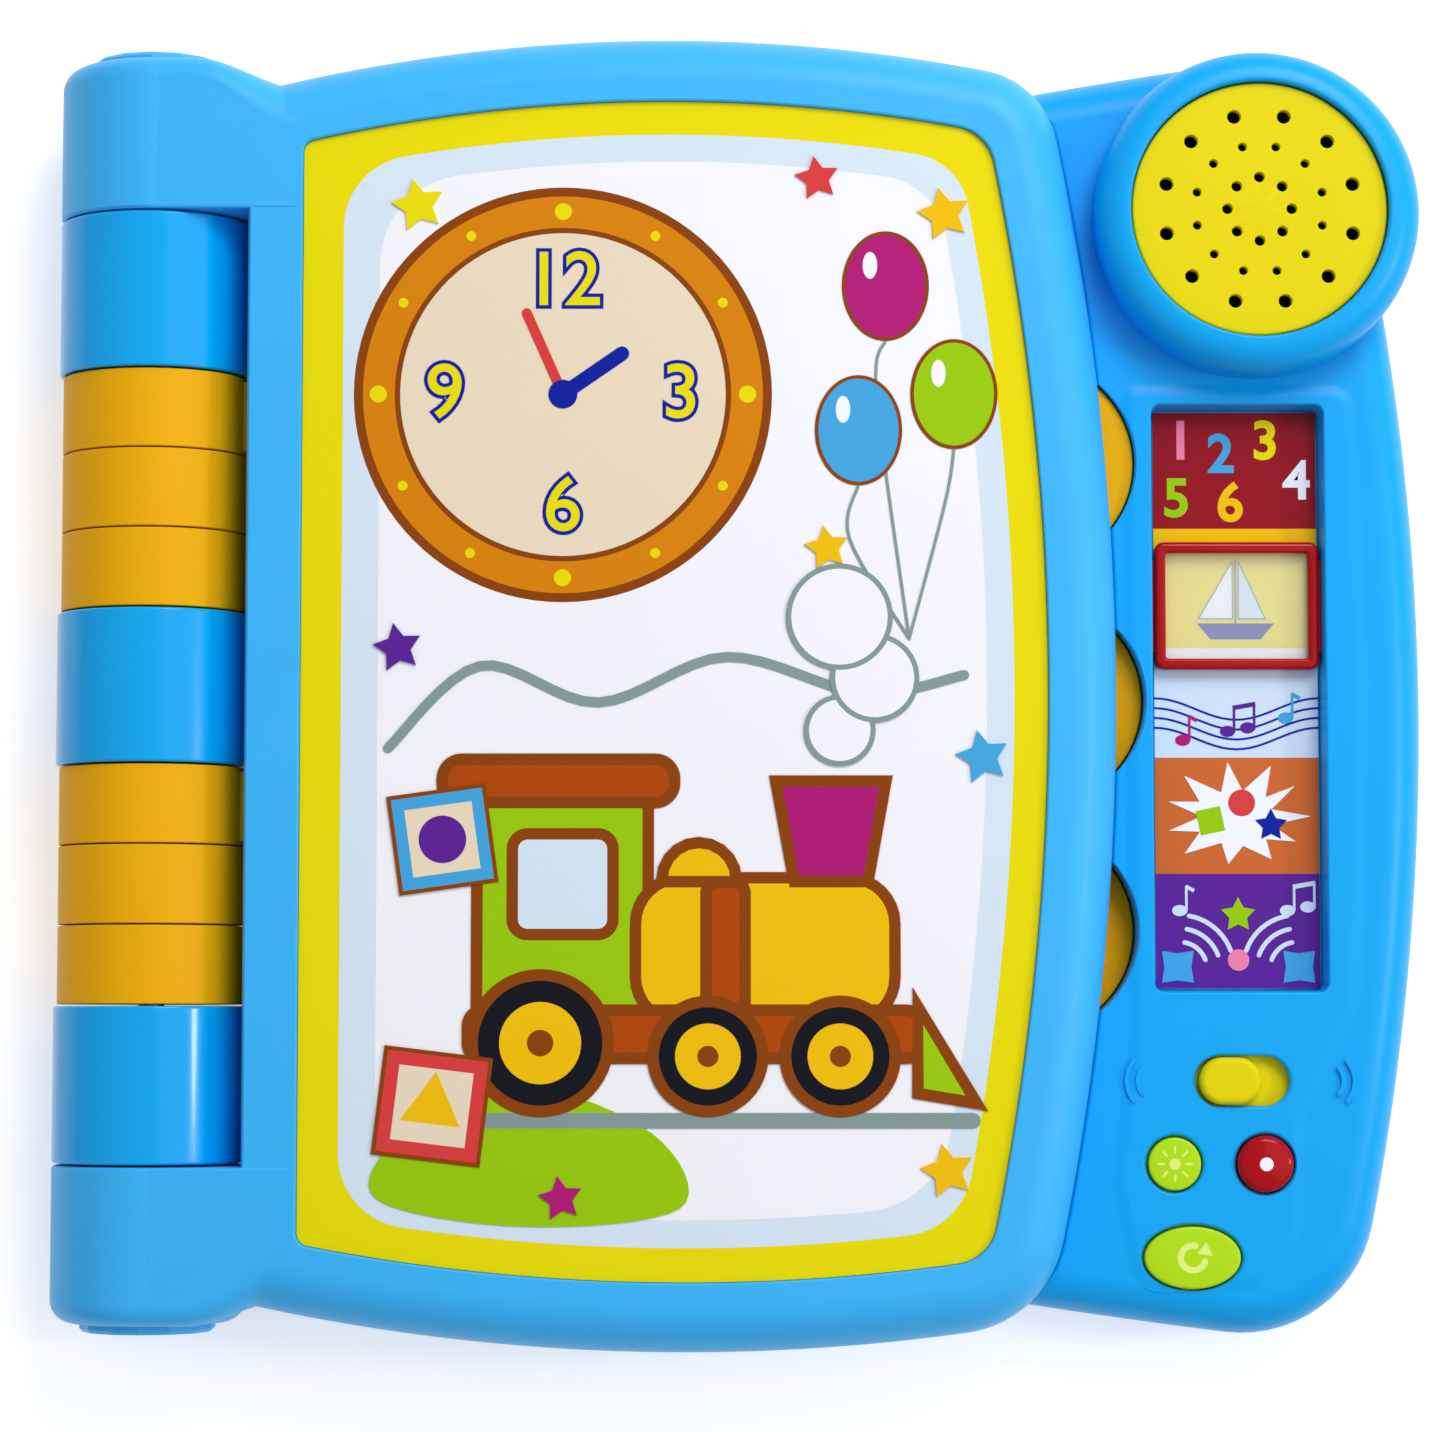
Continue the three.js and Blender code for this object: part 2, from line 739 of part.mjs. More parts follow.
function baseUpperShell() {
  const low = partingHeight + partingGap / 2;
  const shell = baseHull.intersect(slice(low, 2 * turretTop));
  const posts = baseScrews.map(([x, y]) => {
    const roof = x > bookRight ? panelTop : bedTop;
    return post(x, y, postRadius, low, roof - wall + weld);
  });
  const holeTop = screwSeat + screwLength + partingGap;
  const holes = baseScrews.map(([x, y]) => post(x, y, screwShankRadius + partingGap / 2, 0, holeTop));
  const seat = post(turret.x, turret.y, grilleRadius + seatGap, grilleTop - grilleThickness, turretTop + past,
    turretSides);
  const throat = post(turret.x, turret.y, grilleRadius - grilleLedge, bedTop, turretTop + past, turretSides);
  const keys = buttons.map(({ x, y, a, b }) => (
    slab(oval(x, y, a + seatGap, b + seatGap, smallSides * 2), bedTop, turretTop)));
  const volume = slab(slotOutline(volumeSlot, 0), bedTop, turretTop);
  return cut(joined([shell, ...posts]), [...holes, seat, throat, modeOpening(), volume, ...keys]);
}

function boardPosts(board, floor) {
  const columns = [board.left + bossRadius, board.right - bossRadius];
  const rows = [board.bottom + bossRadius, board.top - bossRadius];
  return columns.flatMap((x) => rows.map((y) => post(x, y, postRadius / 2, floor, board.z, tinySides)));
}

function baseLowerShell() {
  const high = partingHeight - partingGap / 2;
  const floor = wall - weld;
  const shell = baseHull.intersect(slice(-past, high));
  const barrels = [
    [-innerRingStart, innerRingStart], [sideBarrelStart, knuckleStart], [-knuckleStart, -sideBarrelStart],
  ];
  const rings = barrels.map(([start, end]) => barrel(start, end, barrelRadius));
  const feet = barrels.flatMap(([start, end]) => {
    const y0 = start + barrelGap / 2 + barrelEdge;
    const y1 = end - barrelGap / 2 - barrelEdge;
    return [
      box(0, baseLeft - seatGap, y0, y1, 0, barrelFootTop),
      box(baseLeft - wall, baseLeft + wall, y0, y1, baseFootRound, high),
    ];
  });
  const cores = barrels.map(([start, end]) => barrelCore(start, end));
  const bosses = baseScrews.map(([x, y]) => post(x, y, bossRadius, floor, high));
  const bay = box(bayLeft - thinWall, bayRight + thinWall, bayBottom - thinWall, bayTop + thinWall,
    floor, bayCeiling + bayRoof);
  const boards = [...boardPosts(mainBoard, floor), ...boardPosts(keyBoard, floor)];
  const bayRoom = box(bayLeft, bayRight, bayBottom, bayTop, doorThickness, bayCeiling);
  const doorway = box(bayLeft - doorMargin, bayRight + doorMargin, bayBottom - doorMargin,
    bayTop + doorMargin, -past, doorThickness + seatGap);
  const sinks = baseScrews.map(([x, y]) => post(x, y, screwHeadRadius + seatGap, -past, screwSeat));
  const holes = baseScrews.map(([x, y]) => post(x, y, screwShankRadius + seatGap, 0, partingHeight + past));
  return cut(joined([shell, ...rings, ...feet, ...bosses, bay, ...boards]),
    [bayRoom, doorway, ...sinks, ...holes, ...cores, rodBore()]);
}

// Base fittings

function grille() {
  const low = grilleTop - grilleThickness;
  const profile = [
    [0, low], [grilleRadius, low], [grilleRadius, grilleTop - grilleEdge],
    [grilleRadius - grilleEdge, grilleTop], [0, grilleTop],
  ];
  const disc = turned(profile, turret.x, turret.y, turretSides);
  const holes = grilleRings.flatMap(({ count, radius, hole, turn }) => (
    Array.from({ length: count }, (_, i) => {
      const angle = THREE.MathUtils.degToRad(turn + (360 * i) / count);
      const x = turret.x + radius * Math.cos(angle);
      const y = turret.y + radius * Math.sin(angle);
      return post(x, y, hole, low - past, grilleTop + past, tinySides);
    })));
  return disc.subtract(joined(holes));
}

const speakerTop = grilleTop - grilleThickness - grilleLedge - seatGap;
const speakerBottom = speakerTop - speakerDepth;

function speakerBasket() {
  const rim = speakerRadius + basketRim;
  const flange = rim + basketFlangeWidth;
  const hole = magnetRadius / 2;
  const inside = speakerBottom + basketWall;
  const profile = [
    [hole, speakerBottom], [magnetRadius + basketFloorMargin, speakerBottom],
    [speakerRadius, speakerTop - basketNeck], [flange, speakerTop - speakerFlange], [flange, speakerTop],
    [rim, speakerTop], [rim - basketFloorMargin, speakerTop - basketNeck + basketRim],
    [magnetRadius + basketRim, inside], [hole, inside], [hole, speakerBottom],
  ];
  return turned(profile, turret.x, turret.y, turretSides / 2);
}

function speakerCone() {
  const floor = speakerTop - coneDepth;
  const edge = speakerRadius - surroundWidth;
  const roll = speakerRadius - surroundWidth / 2;
  const lip = speakerRadius + basketRim - weld;
  const dip = speakerTop - surroundDip;
  const under = [
    [0, floor + dustCapRise], [dustCapRadius, floor + dustCapRise - coneWall], [coneThroatRadius, floor],
    [edge, speakerTop - surroundDepth - coneWall],
  ];
  const surround = [
    [roll, dip - surroundWall], [lip, speakerTop - surroundWall], [lip, speakerTop], [roll, dip],
  ];
  const over = under.map(([r, z]) => [r, z + coneWall]).reverse();
  return turned([...under, ...surround, ...over], turret.x, turret.y, turretSides / 2);
}

function speakerMagnet() {
  const low = speakerBottom - magnetThickness;
  const profile = [
    [0, low], [magnetRadius - magnetEdge, low], [magnetRadius, low + magnetEdge],
    [magnetRadius, speakerBottom], [0, speakerBottom],
  ];
  return turned(profile, turret.x, turret.y, turretSides / 2);
}

function board({ left, right, bottom, top, z }) {
  return slab(roundedBox(left, right, bottom, top, boardCorner), z, z + boardThickness);
}

function soundChip() {
  const x = (mainBoard.left + mainBoard.right) / 2;
  const y = (mainBoard.bottom + mainBoard.top) / 2;
  const z = mainBoard.z + boardThickness;
  return box(x - chipSize / 2, x + chipSize / 2, y - chipSize / 2, y + chipSize / 2, z, z + chipHeight);
}

function button({ x, y, a, b, proud, dome }) {
  const steps = smallSides * 2;
  const flange = slab(oval(x, y, a + buttonFlange, b + buttonFlange, steps), flangeBottom, flangeTop);
  const rise = quarterRound(panelTop + proud, dome);
  const crown = { z: panelTop + proud + dome * crownRise, inset: Math.min(a, b) * crownShare };
  const levels = [{ z: flangeBottom, inset: 0 }, ...rise, crown];
  return flange.add(spread(levels, (inset) => oval(x, y, a - inset, b - inset, steps)));
}

function keypad() {
  const floor = keyBoard.z + boardThickness;
  const low = Math.min(...buttons.map(({ y, b }) => y - b)) - keypadMargin;
  const high = Math.max(...buttons.map(({ y, b }) => y + b)) + keypadMargin;
  const left = keyBoard.left + keypadMargin;
  const right = keyBoard.right - keypadMargin;
  const sheet = slab(roundedBox(left, right, low, high, boardCorner), floor, floor + keypadThickness);
  const domeTop = flangeBottom - buttonTravel - partingGap / 2;
  const domes = buttons.map(({ x, y, b }) => {
    const foot = b - keypadDomeInset;
    const profile = [[0, floor], [foot, floor], [foot - keypadDomeTaper, domeTop], [0, domeTop]];
    return turned(profile, x, y, smallSides);
  });
  return joined([sheet, ...domes]);
}

function volumeSlider() {
  const { left, right, y, height } = volumeSlot;
  const reach = volumeTravel + volumePlateMargin;
  const plate = box(left - reach, right + volumePlateMargin, y - height / 2 - volumePlateMargin,
    y + height / 2 + volumePlateMargin, flangeTop - volumePlateThickness, flangeTop);
  const knobRight = left + runGap + volumeKnobLength;
  const knob = { left: left + runGap, right: knobRight, y, height };
  const outline = (inset) => slotOutline(knob, -inset - seatGap);
  const levels = quarterRound(panelTop + volumeKnobProud, volumeKnobRound);
  return plate.add(spread([{ z: flangeTop - weld, inset: 0 }, ...levels], outline));
}

function volumeSwitch() {
  const z = keyBoard.z + boardThickness;
  const { left, right, y } = volumeSlot;
  return box(left - volumeSwitchMargin, right + volumeSwitchMargin, y - volumeSwitchWidth / 2,
    y + volumeSwitchWidth / 2, z, flangeTop - volumePlateThickness - runGap);
}

function modeSheet(bottom, thickness, margin) {
  const { left, right, bottom: low, top, corner } = modeWindow;
  const inset = modeDraft + margin;
  const outline = roundedBox(left + inset, right - inset, low + inset, top - inset, corner);
  return slab(outline, bottom, bottom + thickness);
}

const sliderBottom = modeFloor + membraneThickness + stripThickness + seatGap;
const sliderSide = modeDraft + seatGap;
const paneBottom = sliderBottom + paneLift;

function sliderFrame() {
  const left = modeWindow.left + sliderSide;
  const right = modeWindow.right - sliderSide;
  const low = sliderCentre - sliderLength / 2;
  const high = sliderCentre + sliderLength / 2;
  const top = sliderBottom + sliderThickness;
  const ring = (inset, radius) => roundedBox(left + inset, right - inset, low + inset, high - inset, radius);
  const levels = [
    { z: sliderBottom, inset: 0 }, { z: top - sliderEdge, inset: 0 }, { z: top, inset: sliderEdge },
  ];
  const body = spread(levels, (inset) => ring(inset, sliderCorner - inset));
  const reach = modeGrooveDepth - seatGap;
  const tongues = box(modeWindow.left - reach, modeWindow.right + reach, low + sliderTongueMargin,
    high - sliderTongueMargin, modeGrooveBottom + seatGap, modeGrooveBottom + modeGrooveHeight - seatGap);
  const opening = slab(ring(sliderBar, paneCorner), 0, panelTop);
  const paneTop = paneBottom + paneThickness + partingGap / 2;
  const rebate = slab(ring(sliderBar - paneRebate, paneCorner), 0, paneTop);
  return cut(body.add(tongues), [opening, rebate]);
}

function sliderPane() {
  const inset = sliderSide + sliderBar - paneRebate + seatGap;
  const half = sliderLength / 2 - sliderBar + paneRebate - seatGap;
  const outline = roundedBox(modeWindow.left + inset, modeWindow.right - inset, sliderCentre - half,
    sliderCentre + half, paneCorner);
  return slab(outline, paneBottom, paneBottom + paneThickness);
}

// Batteries

const cellX = (i) => bayLeft + seatGap + cellRadius + i * cellPitch;
const cellTurn = (i) => (i % 2 === 0 ? 1 : -1);
const bayMiddle = (bayBottom + bayTop) / 2;

// Every other cell lies the other way round, with its spring at the flat end
function cell(i) {
  const nubEnd = cellLength + cellNubLength;
  const profile = [
    [0, 0], [cellRadius - cellEdge, 0], [cellRadius, cellEdge], [cellRadius, cellLength - cellEdge],
    [cellRadius - cellEdge, cellLength], [cellNubRadius, cellLength], [cellNubRadius, nubEnd], [0, nubEnd],
  ];
  const start = contactThickness + seatGap + springLength - bayLength / 2;
  const points = profile.map(([r, y]) => new THREE.Vector2(r, y));
  const geometry = new THREE.LatheGeometry(points, smallSides * 2).translate(0, start, 0);
  if (cellTurn(i) < 0) geometry.rotateZ(Math.PI);
  return solid(geometry.translate(cellX(i), bayMiddle, cellHeight));
}

function contactPlate(side) {
  const y = side < 0 ? bayBottom : bayTop - contactThickness;
  return box(bayLeft + seatGap, bayRight - seatGap, y, y + contactThickness, doorThickness + runGap,
    bayCeiling - runGap);
}

function cellSpring(i) {
  const base = bayLength / 2 - contactThickness - springWire - seatGap / 2;
  const rise = springLength - seatGap - 2 * springWire;
  const turns = springTurns * springSteps;
  const path = new THREE.CatmullRomCurve3(Array.from({ length: turns + 1 }, (_, k) => {
    const share = k / turns;
    const angle = 2 * Math.PI * springTurns * share;
    const radius = THREE.MathUtils.lerp(springRadius, springTipRadius, share);
    const y = -cellTurn(i) * (base - rise * share);
    return new THREE.Vector3(radius * Math.cos(angle), y, radius * Math.sin(angle));
  }));
  const section = new THREE.Shape(oval(0, 0, springWire, springWire, 4));
  const options = { steps: turns, extrudePath: path, bevelEnabled: false };
  const geometry = new THREE.ExtrudeGeometry(section, options);
  return solid(geometry.translate(cellX(i), bayMiddle, cellHeight));
}

function batteryDoor() {
  const margin = doorMargin - seatGap;
  const outline = roundedBox(bayLeft - margin, bayRight + margin, bayBottom - margin, bayTop + margin,
    doorCorner);
  return slab(outline, seatGap, doorThickness);
}

// Screws stand head down

function screw([x, y], { head, headHeight, shank, length, seat }) {
  const low = seat - headHeight;
  const tip = seat + length;
  const profile = [
    [0, low], [head - screwEdge, low], [head, low + screwEdge], [head, seat], [shank, seat],
    [shank, tip - 2 * screwEdge], [screwTipRadius, tip], [0, tip],
  ];
  return turned(profile, x, y, smallSides);
}

const baseScrew = {
  head: screwHeadRadius, headHeight: screwHeadHeight, shank: screwShankRadius, length: screwLength,
  seat: screwSeat - partingGap / 2,
};

// Spine fittings

function hingeRod() {
  const end = spineEnd - endCapPlugLength - seatGap;
  const profile = [
    [0, -end], [rodRadius - rodEdge, -end], [rodRadius, rodEdge - end], [rodRadius, end - rodEdge],
    [rodRadius - rodEdge, end], [0, end],
  ];
  return turnedOnSpine(profile, smallSides);
}

function endCap(side) {
  const plugEnd = spineEnd - endCapPlugLength;
  const rim = spineEnd + endCapThickness;
  const profile = [
    [0, plugEnd], [rodRadius, plugEnd], [rodRadius, spineEnd], [endCapRadius, spineEnd],
    [endCapRadius, rim - endCapEdge], [endCapRadius - endCapEdge, rim], [0, rim],
  ];
  return turnedOnSpine(profile.map(([r, y]) => [r, side * y]), barrelSides / 2);
}

// Cover

const coverOutline = (inset) => bookOutline(inset, coverLeft + coverLeftShare * inset);
const printFloor = coverCrown - windowDepth;
const coverCeiling = printFloor - wall;
const backPanelTop = coverUnderside + backPanelThickness;

function coverSlab() {
  const levels = [{ z: coverUnderside, inset: coverHem }, { z: coverUnderside + coverHem, inset: 0 },
    ...quarterRound(coverCrown, coverEdgeRound, roundSteps + 1)];
  return spread(levels, coverOutline);
}

// The hollow stays a wall away from the outside at each height
function coverHollow() {
  const shoulder = coverCrown - coverEdgeRound;
  const heights = [coverUnderside - past, shoulder, (shoulder + coverCeiling) / 2, coverCeiling];
  const levels = heights.map((z) => {
    const rise = Math.max(0, z - shoulder);
    return { z, inset: wall + coverEdgeRound - Math.sqrt(coverEdgeRound ** 2 - rise ** 2) };
  });
  return spread(levels, (inset) => bookOutline(inset, coverLeft + inset));
}

function bridge(side) {
  const low = knuckleStart + barrelGap / 2;
  const high = spineEnd - knuckleEndRound - bridgeEndMargin;
  const outline = (inset) => {
    const ends = [side * (low + bridgeInnerShare * inset), side * (high - bridgeOuterShare * inset)];
    const [y0, y1] = ends.sort((a, b) => a - b);
    return roundedBox(bridgeLeft + inset, windowLeft - windowLeftCornerRadius, y0, y1, bridgeCorner);
  };
  const levels = quarterRound(coverCrown - partingGap, bridgeRound);
  const block = spread([{ z: coverUnderside + coverHem, inset: 0 }, ...levels], outline);
  return block.subtract(coverHollow());
}

const coverScrew = {
  head: coverScrewHeadRadius, headHeight: coverScrewHeadHeight, shank: coverScrewShankRadius,
  length: coverScrewLength,
  seat: coverUnderside + coverScrewHeadHeight + partingGap,
};
const coverSinkTop = coverScrew.seat + partingGap / 2;

function coverFrame() {
  const shell = coverSlab().subtract(coverHollow());
  const bossFoot = backPanelTop + seatGap;
  const bosses = coverScrews.map(([x, y]) => post(x, y, postRadius, bossFoot, coverCeiling + weld));
  const holeTop = coverScrew.seat + coverScrewLength + partingGap;
  const holes = coverScrews.map(([x, y]) => post(x, y, coverScrewShankRadius + partingGap / 2, 0, holeTop));
  const recess = slab(windowOutline(0), printFloor, coverCrown + past);
  return cut(joined([shell, bridge(1), bridge(-1), knuckle(1), knuckle(-1), ...bosses]),
    [recess, ...holes, knuckleCore(1), knuckleCore(-1), rodBore()]);
}

function coverBackPanel() {
  const inset = wall + seatGap;
  const panel = slab(bookOutline(inset, coverLeft + inset), coverUnderside, backPanelTop);
  const sinks = coverScrews.map(([x, y]) => post(x, y, coverScrewHeadRadius + seatGap, 0, coverSinkTop));
  const holes = coverScrews.map(([x, y]) => post(x, y, coverScrewShankRadius + seatGap, 0, coverCrown));
  return cut(panel, [...sinks, ...holes]);
}

function coverPrint() {
  return slab(windowOutline(seatGap), printFloor, printFloor + printThickness);
}

// Pages, numbered from the cover down

const pageMiddle = (k) => axisHeight + ((pageCount - 1) / 2 - k) * pagePitch;

// Each page has one ring in each group of rings, its own place further down for each page
function ringSpans(k) {
  return [sideBarrelStart, -innerRingStart].map((top) => {
    const end = top - k * pageRingLength;
    return [end - pageRingLength, end];
  });
}

function cardOutline(inset) {
  return bookOutline(pageCardInset + inset, pageCardLeft + inset);
}

function page(k) {
  const low = pageMiddle(k) - pageThickness / 2;
  const high = low + pageThickness;
  const tab = tabs[k];
  const leaf = slab(bookOutline(pageInset, pageLeft), low, high);
  const disc = post(tab.tip - tabRadius, tab.y, tabRadius, low, high, turretSides);
  const rings = ringSpans(k).flatMap(([start, end]) => {
    const margin = barrelGap / 2 + barrelEdge;
    const web = box(pageRingRadius - wall + weld, pageLeft + wall, start + margin, end - margin, low, high);
    return [barrel(start, end, pageRingRadius), web];
  });
  const recesses = [
    slab(cardOutline(0), high - pageCardDepth, high + past),
    slab(cardOutline(0), low - past, low + pageCardDepth),
  ];
  const cores = ringSpans(k).map(([start, end]) => barrelCore(start, end));
  return cut(joined([leaf, disc, ...rings]), [...recesses, ...cores, rodBore()]);
}

function pageCard(k, side) {
  const face = pageMiddle(k) + side * (pageThickness / 2 - pageCardDepth);
  const z = side > 0 ? face : face - pageCardThickness;
  return slab(cardOutline(seatGap), z, z + pageCardThickness);
}

// The whole book

const book = new THREE.Group();

function add(name, manifold, color, roughness = 0.4, metalness = 0) {
  const material = new THREE.MeshStandardMaterial({ color, roughness, metalness });
  const mesh = new THREE.Mesh(geometryOf(manifold), material);
  mesh.name = name;
  book.add(mesh);
}

add('base_lower_shell', baseLowerShell(), blue, 0.25);
add('base_upper_shell', baseUpperShell(), blue, 0.25);
add('speaker_grille', grille(), yellow, 0.4);
add('speaker_basket', speakerBasket(), steel, 0.4, 1);
add('speaker_cone', speakerCone(), black, 0.8);
add('speaker_magnet', speakerMagnet(), black, 0.5, 1);
add('main_board', board(mainBoard), boardGreen, 0.5);
add('sound_chip', soundChip(), black, 0.6);
add('key_board', board(keyBoard), boardGreen, 0.5);
add('keypad', keypad(), black, 0.8);
add('volume_switch', volumeSwitch(), black, 0.6);
add('mode_membrane', modeSheet(modeFloor, membraneThickness, seatGap), card, 0.5);
add('mode_strip', modeSheet(modeFloor + membraneThickness, stripThickness, seatGap), card, 0.5);
add('mode_slider_frame', sliderFrame(), red, 0.2);
add('mode_slider_pane', sliderPane(), clearTint, 0.05);
add('volume_slider', volumeSlider(), yellow, 0.4);
for (const each of buttons) add(each.name, button(each), each.color, 0.3);
for (let i = 0; i < cellCount; i += 1) {
  add(`battery_cell_${i + 1}`, cell(i), black, 0.4, 0.3);
  add(`battery_spring_${i + 1}`, cellSpring(i), steel, 0.3, 1);
}
add('battery_contact_low', contactPlate(-1), steel, 0.3, 1);
add('battery_contact_high', contactPlate(1), steel, 0.3, 1);
add('battery_door', batteryDoor(), blue, 0.3);
baseScrews.forEach((place, i) => add(`base_screw_${i + 1}`, screw(place, baseScrew), steel, 0.3, 1));
add('hinge_rod', hingeRod(), steel, 0.3, 1);
add('spine_cap_top', endCap(1), blue, 0.35);
add('spine_cap_bottom', endCap(-1), blue, 0.35);
for (let k = 0; k < pageCount; k += 1) {
  add(`page_${k + 1}_leaf`, page(k), orange, 0.45);
  add(`page_${k + 1}_card_front`, pageCard(k, 1), card, 0.6);
  add(`page_${k + 1}_card_back`, pageCard(k, -1), card, 0.6);
}
add('cover_frame', coverFrame(), blue, 0.35);
add('cover_print', coverPrint(), card, 0.3);
add('cover_back_panel', coverBackPanel(), blue, 0.4);
coverScrews.forEach((place, i) => add(`cover_screw_${i + 1}`, screw(place, coverScrew), steel, 0.3, 1));

// The origin is under the middle of the book, on the table
const bounds = new THREE.Box3().setFromObject(book);
const middle = bounds.getCenter(new THREE.Vector3());
book.position.set(-middle.x, -middle.y, -bounds.min.z);

export default book;
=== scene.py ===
# Sound book: the looks of every piece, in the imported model's frame.
# Shapes are worked out in millimetres from the spine: x to the right, y up the page, z from the table.
import json
import math

import bpy
import bmesh
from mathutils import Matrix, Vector


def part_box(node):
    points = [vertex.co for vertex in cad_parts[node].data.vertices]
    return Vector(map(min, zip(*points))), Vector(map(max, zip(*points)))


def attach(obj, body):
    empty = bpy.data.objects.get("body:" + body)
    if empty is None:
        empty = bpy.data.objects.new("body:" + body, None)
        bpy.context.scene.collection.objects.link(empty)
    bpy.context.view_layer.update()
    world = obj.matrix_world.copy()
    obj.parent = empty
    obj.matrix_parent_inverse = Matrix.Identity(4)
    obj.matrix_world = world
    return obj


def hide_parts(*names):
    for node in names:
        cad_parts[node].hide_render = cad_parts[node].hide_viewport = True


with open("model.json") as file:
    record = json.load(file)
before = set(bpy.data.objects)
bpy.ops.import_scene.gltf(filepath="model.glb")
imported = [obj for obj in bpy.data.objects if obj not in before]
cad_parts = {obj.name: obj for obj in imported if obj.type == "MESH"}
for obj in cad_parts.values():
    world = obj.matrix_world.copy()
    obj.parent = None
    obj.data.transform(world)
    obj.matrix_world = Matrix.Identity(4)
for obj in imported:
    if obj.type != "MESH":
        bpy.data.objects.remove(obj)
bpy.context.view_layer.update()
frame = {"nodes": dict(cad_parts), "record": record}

MM = 0.001


# Places taken from the frame, in millimetres

def node_box(name):
    low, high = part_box(name)
    return Vector(low) / MM, Vector(high) / MM


ROD_LOW, ROD_HIGH = node_box("hinge_rod")
AXIS = 21.5
ORIGIN = Vector(((ROD_LOW.x + ROD_HIGH.x) / 2, (ROD_LOW.y + ROD_HIGH.y) / 2, 0))


def place(x, y, z):
    return Vector((x + ORIGIN.x, y + ORIGIN.y, z)) * MM


def plan_box(name, grow=0.0):
    """A node's rectangle from above, grown by a margin: left, right, low and high."""
    low, high = node_box(name)
    return (low.x - grow - ORIGIN.x, high.x + grow - ORIGIN.x,
            low.y - grow - ORIGIN.y, high.y + grow - ORIGIN.y)


# Sizes of the visible shells

WALL = 2.2
BARREL = 21.5
PAGE_RING = 20.7
BARREL_GAP = 0.5
BARREL_EDGE = 0.6
RING_GAP = 0.35
RING_EDGE = 0.3
STATIONS = {"middle": 17.2, "rings": 17.6, "side": 70.0, "knuckle": 105.0, "end": 139.8}
KNUCKLE_ROUND = 5.0
ROD_BORE = 3.3

BOOK = {"left": 23.1, "right": 214.1, "top": 144.9, "bottom": -145.75}
TOP_ARC = (115.1, 373.0)
BOTTOM_ARC = (119.1, 448.0)
RIGHT_ARC = 606.0
CORNER_TOP = 20.0
CORNER_BOTTOM = 25.0

UNDERSIDE = 27.0
CROWN = 42.6
EDGE_ROUND = 11.0
COVER_LEFT = 21.9
COVER_LEFT_SHARE = 0.12
COVER_FOOT = [(0.0, 0.8), (0.3, 0.3), (0.8, 0.0)]
BRIDGE_RIGHT = 33.0
BRIDGE_STEPS = 12
BRIDGE_PROUD = 0.25
SHOULDER_START = 10.0
SHOULDER_RUN = 24.0
SHOULDER_DROP = 6.0
WELL_GAP = 0.45
BOOK_WALL = 3.2
OVERLAP = 0.05
TAB_GAP = 0.25
WINDOW_INSET = 15.6
WINDOW_LEFT = 34.6
WINDOW_DEPTH = 1.7
PRINT_THICKNESS = 0.4
BACK_DEPTH = 2.3

PAGE_THICKNESS = 3.1
PAGE_PITCH = 3.5
PAGE_EDGE = 0.7
PAGE_INSET = 3
PAGE_LEFT = 22.6
PAGE_LEFT_SHARE = 0.3
CARD_INSET = 14.0
CARD_LEFT = 36.0
CARD_DEPTH = 0.5
WEB_LEFT = 19.2
WEB_RIGHT = 25.0
WEB_MARGIN = 1.1
TAB_RADIUS = 23.0
TABS = [(218.8, 50.6), (220.7, -2.4), (218.8, -53.5)]

BED = 16.0
PARTING = 10.0
PARTING_GAP = 0.3
PANEL = 28.0
PANEL_ROUND = 9.0
FOOT_ROUND = 4.0
PANEL_LEFT = 185.0
PANEL_CORNER_LOW = 30.0
PANEL_CORNER_HIGH = 34.0
PANEL_RIGHT = (283.0, -4.0, 570.0)
PANEL_LONG_ARC = 1500.0
PANEL_TOP_EDGE = (222.0, 139.6, 0.16)
PANEL_BOTTOM_EDGE = (222.0, -140.1, -0.135)
TURRET = (245.8, 105.5)
TURRET_RADIUS = 36.0
TURRET_TOP = 42.0
TURRET_ROUND = 7.0
GRILLE_RADIUS = 28.2
GRILLE_TOP = 40.2
GRILLE_THICKNESS = 2.2
GRILLE_SEAT = 2.4
GRILLE_GAP = 0.3
GRILLE_ROOM_ROUND = 0.7
HOLE_RINGS = ((12, 21.3, 1.5, 15), (12, 14.3, 0.95, 15), (8, 7.1, 1.15, 0))
DRIVER_DEPTH = 4.6
MODE = {"left": 222.7, "right": 261.0, "bottom": -67.1, "top": 63.6}
MODE_FLOOR = 21.0
MODE_EDGE = 0.6
SLOT = {"left": 231.3, "right": 252.2, "y": -86.7, "height": 11.0}
KNOB_GAP = 0.8
KNOB_LENGTH = 13.7
KNOB_SIDE_GAP = 0.3
KEY_GAP = 0.4
KEY_PLATE = (24.3, 25.5)
ISLAND_RISE = 0.5
ISLAND_SLOPE = 4.0
BUTTONS = {
    "button_green": (226.6, -104.9, 5.8, 5.8, 1.2, 0.5),
    "button_red": (246.6, -104.9, 6.2, 6.2, 2.2, 1.6),
    "button_oval": (230.4, -125.4, 10.6, 6.8, 1.2, 0.6),
}

# How finely curves are cut
LONG_STEPS = 40
CORNER_STEPS = 14
ROUND_STEPS = 8
COVER_STEPS = 14
PANEL_STEPS = 12
TAB_STEPS = 96
EDGE_TURNS = (0.0, 0.4, 0.8, 1.2, math.pi / 2)
SHARP_ANGLE = math.radians(38)
BARREL_SIDES = 112
TURRET_SIDES = 128


# Raw meshes and booleans

def linked(name, data):
    obj = bpy.data.objects.new(name, data)
    bpy.context.scene.collection.objects.link(obj)
    return obj


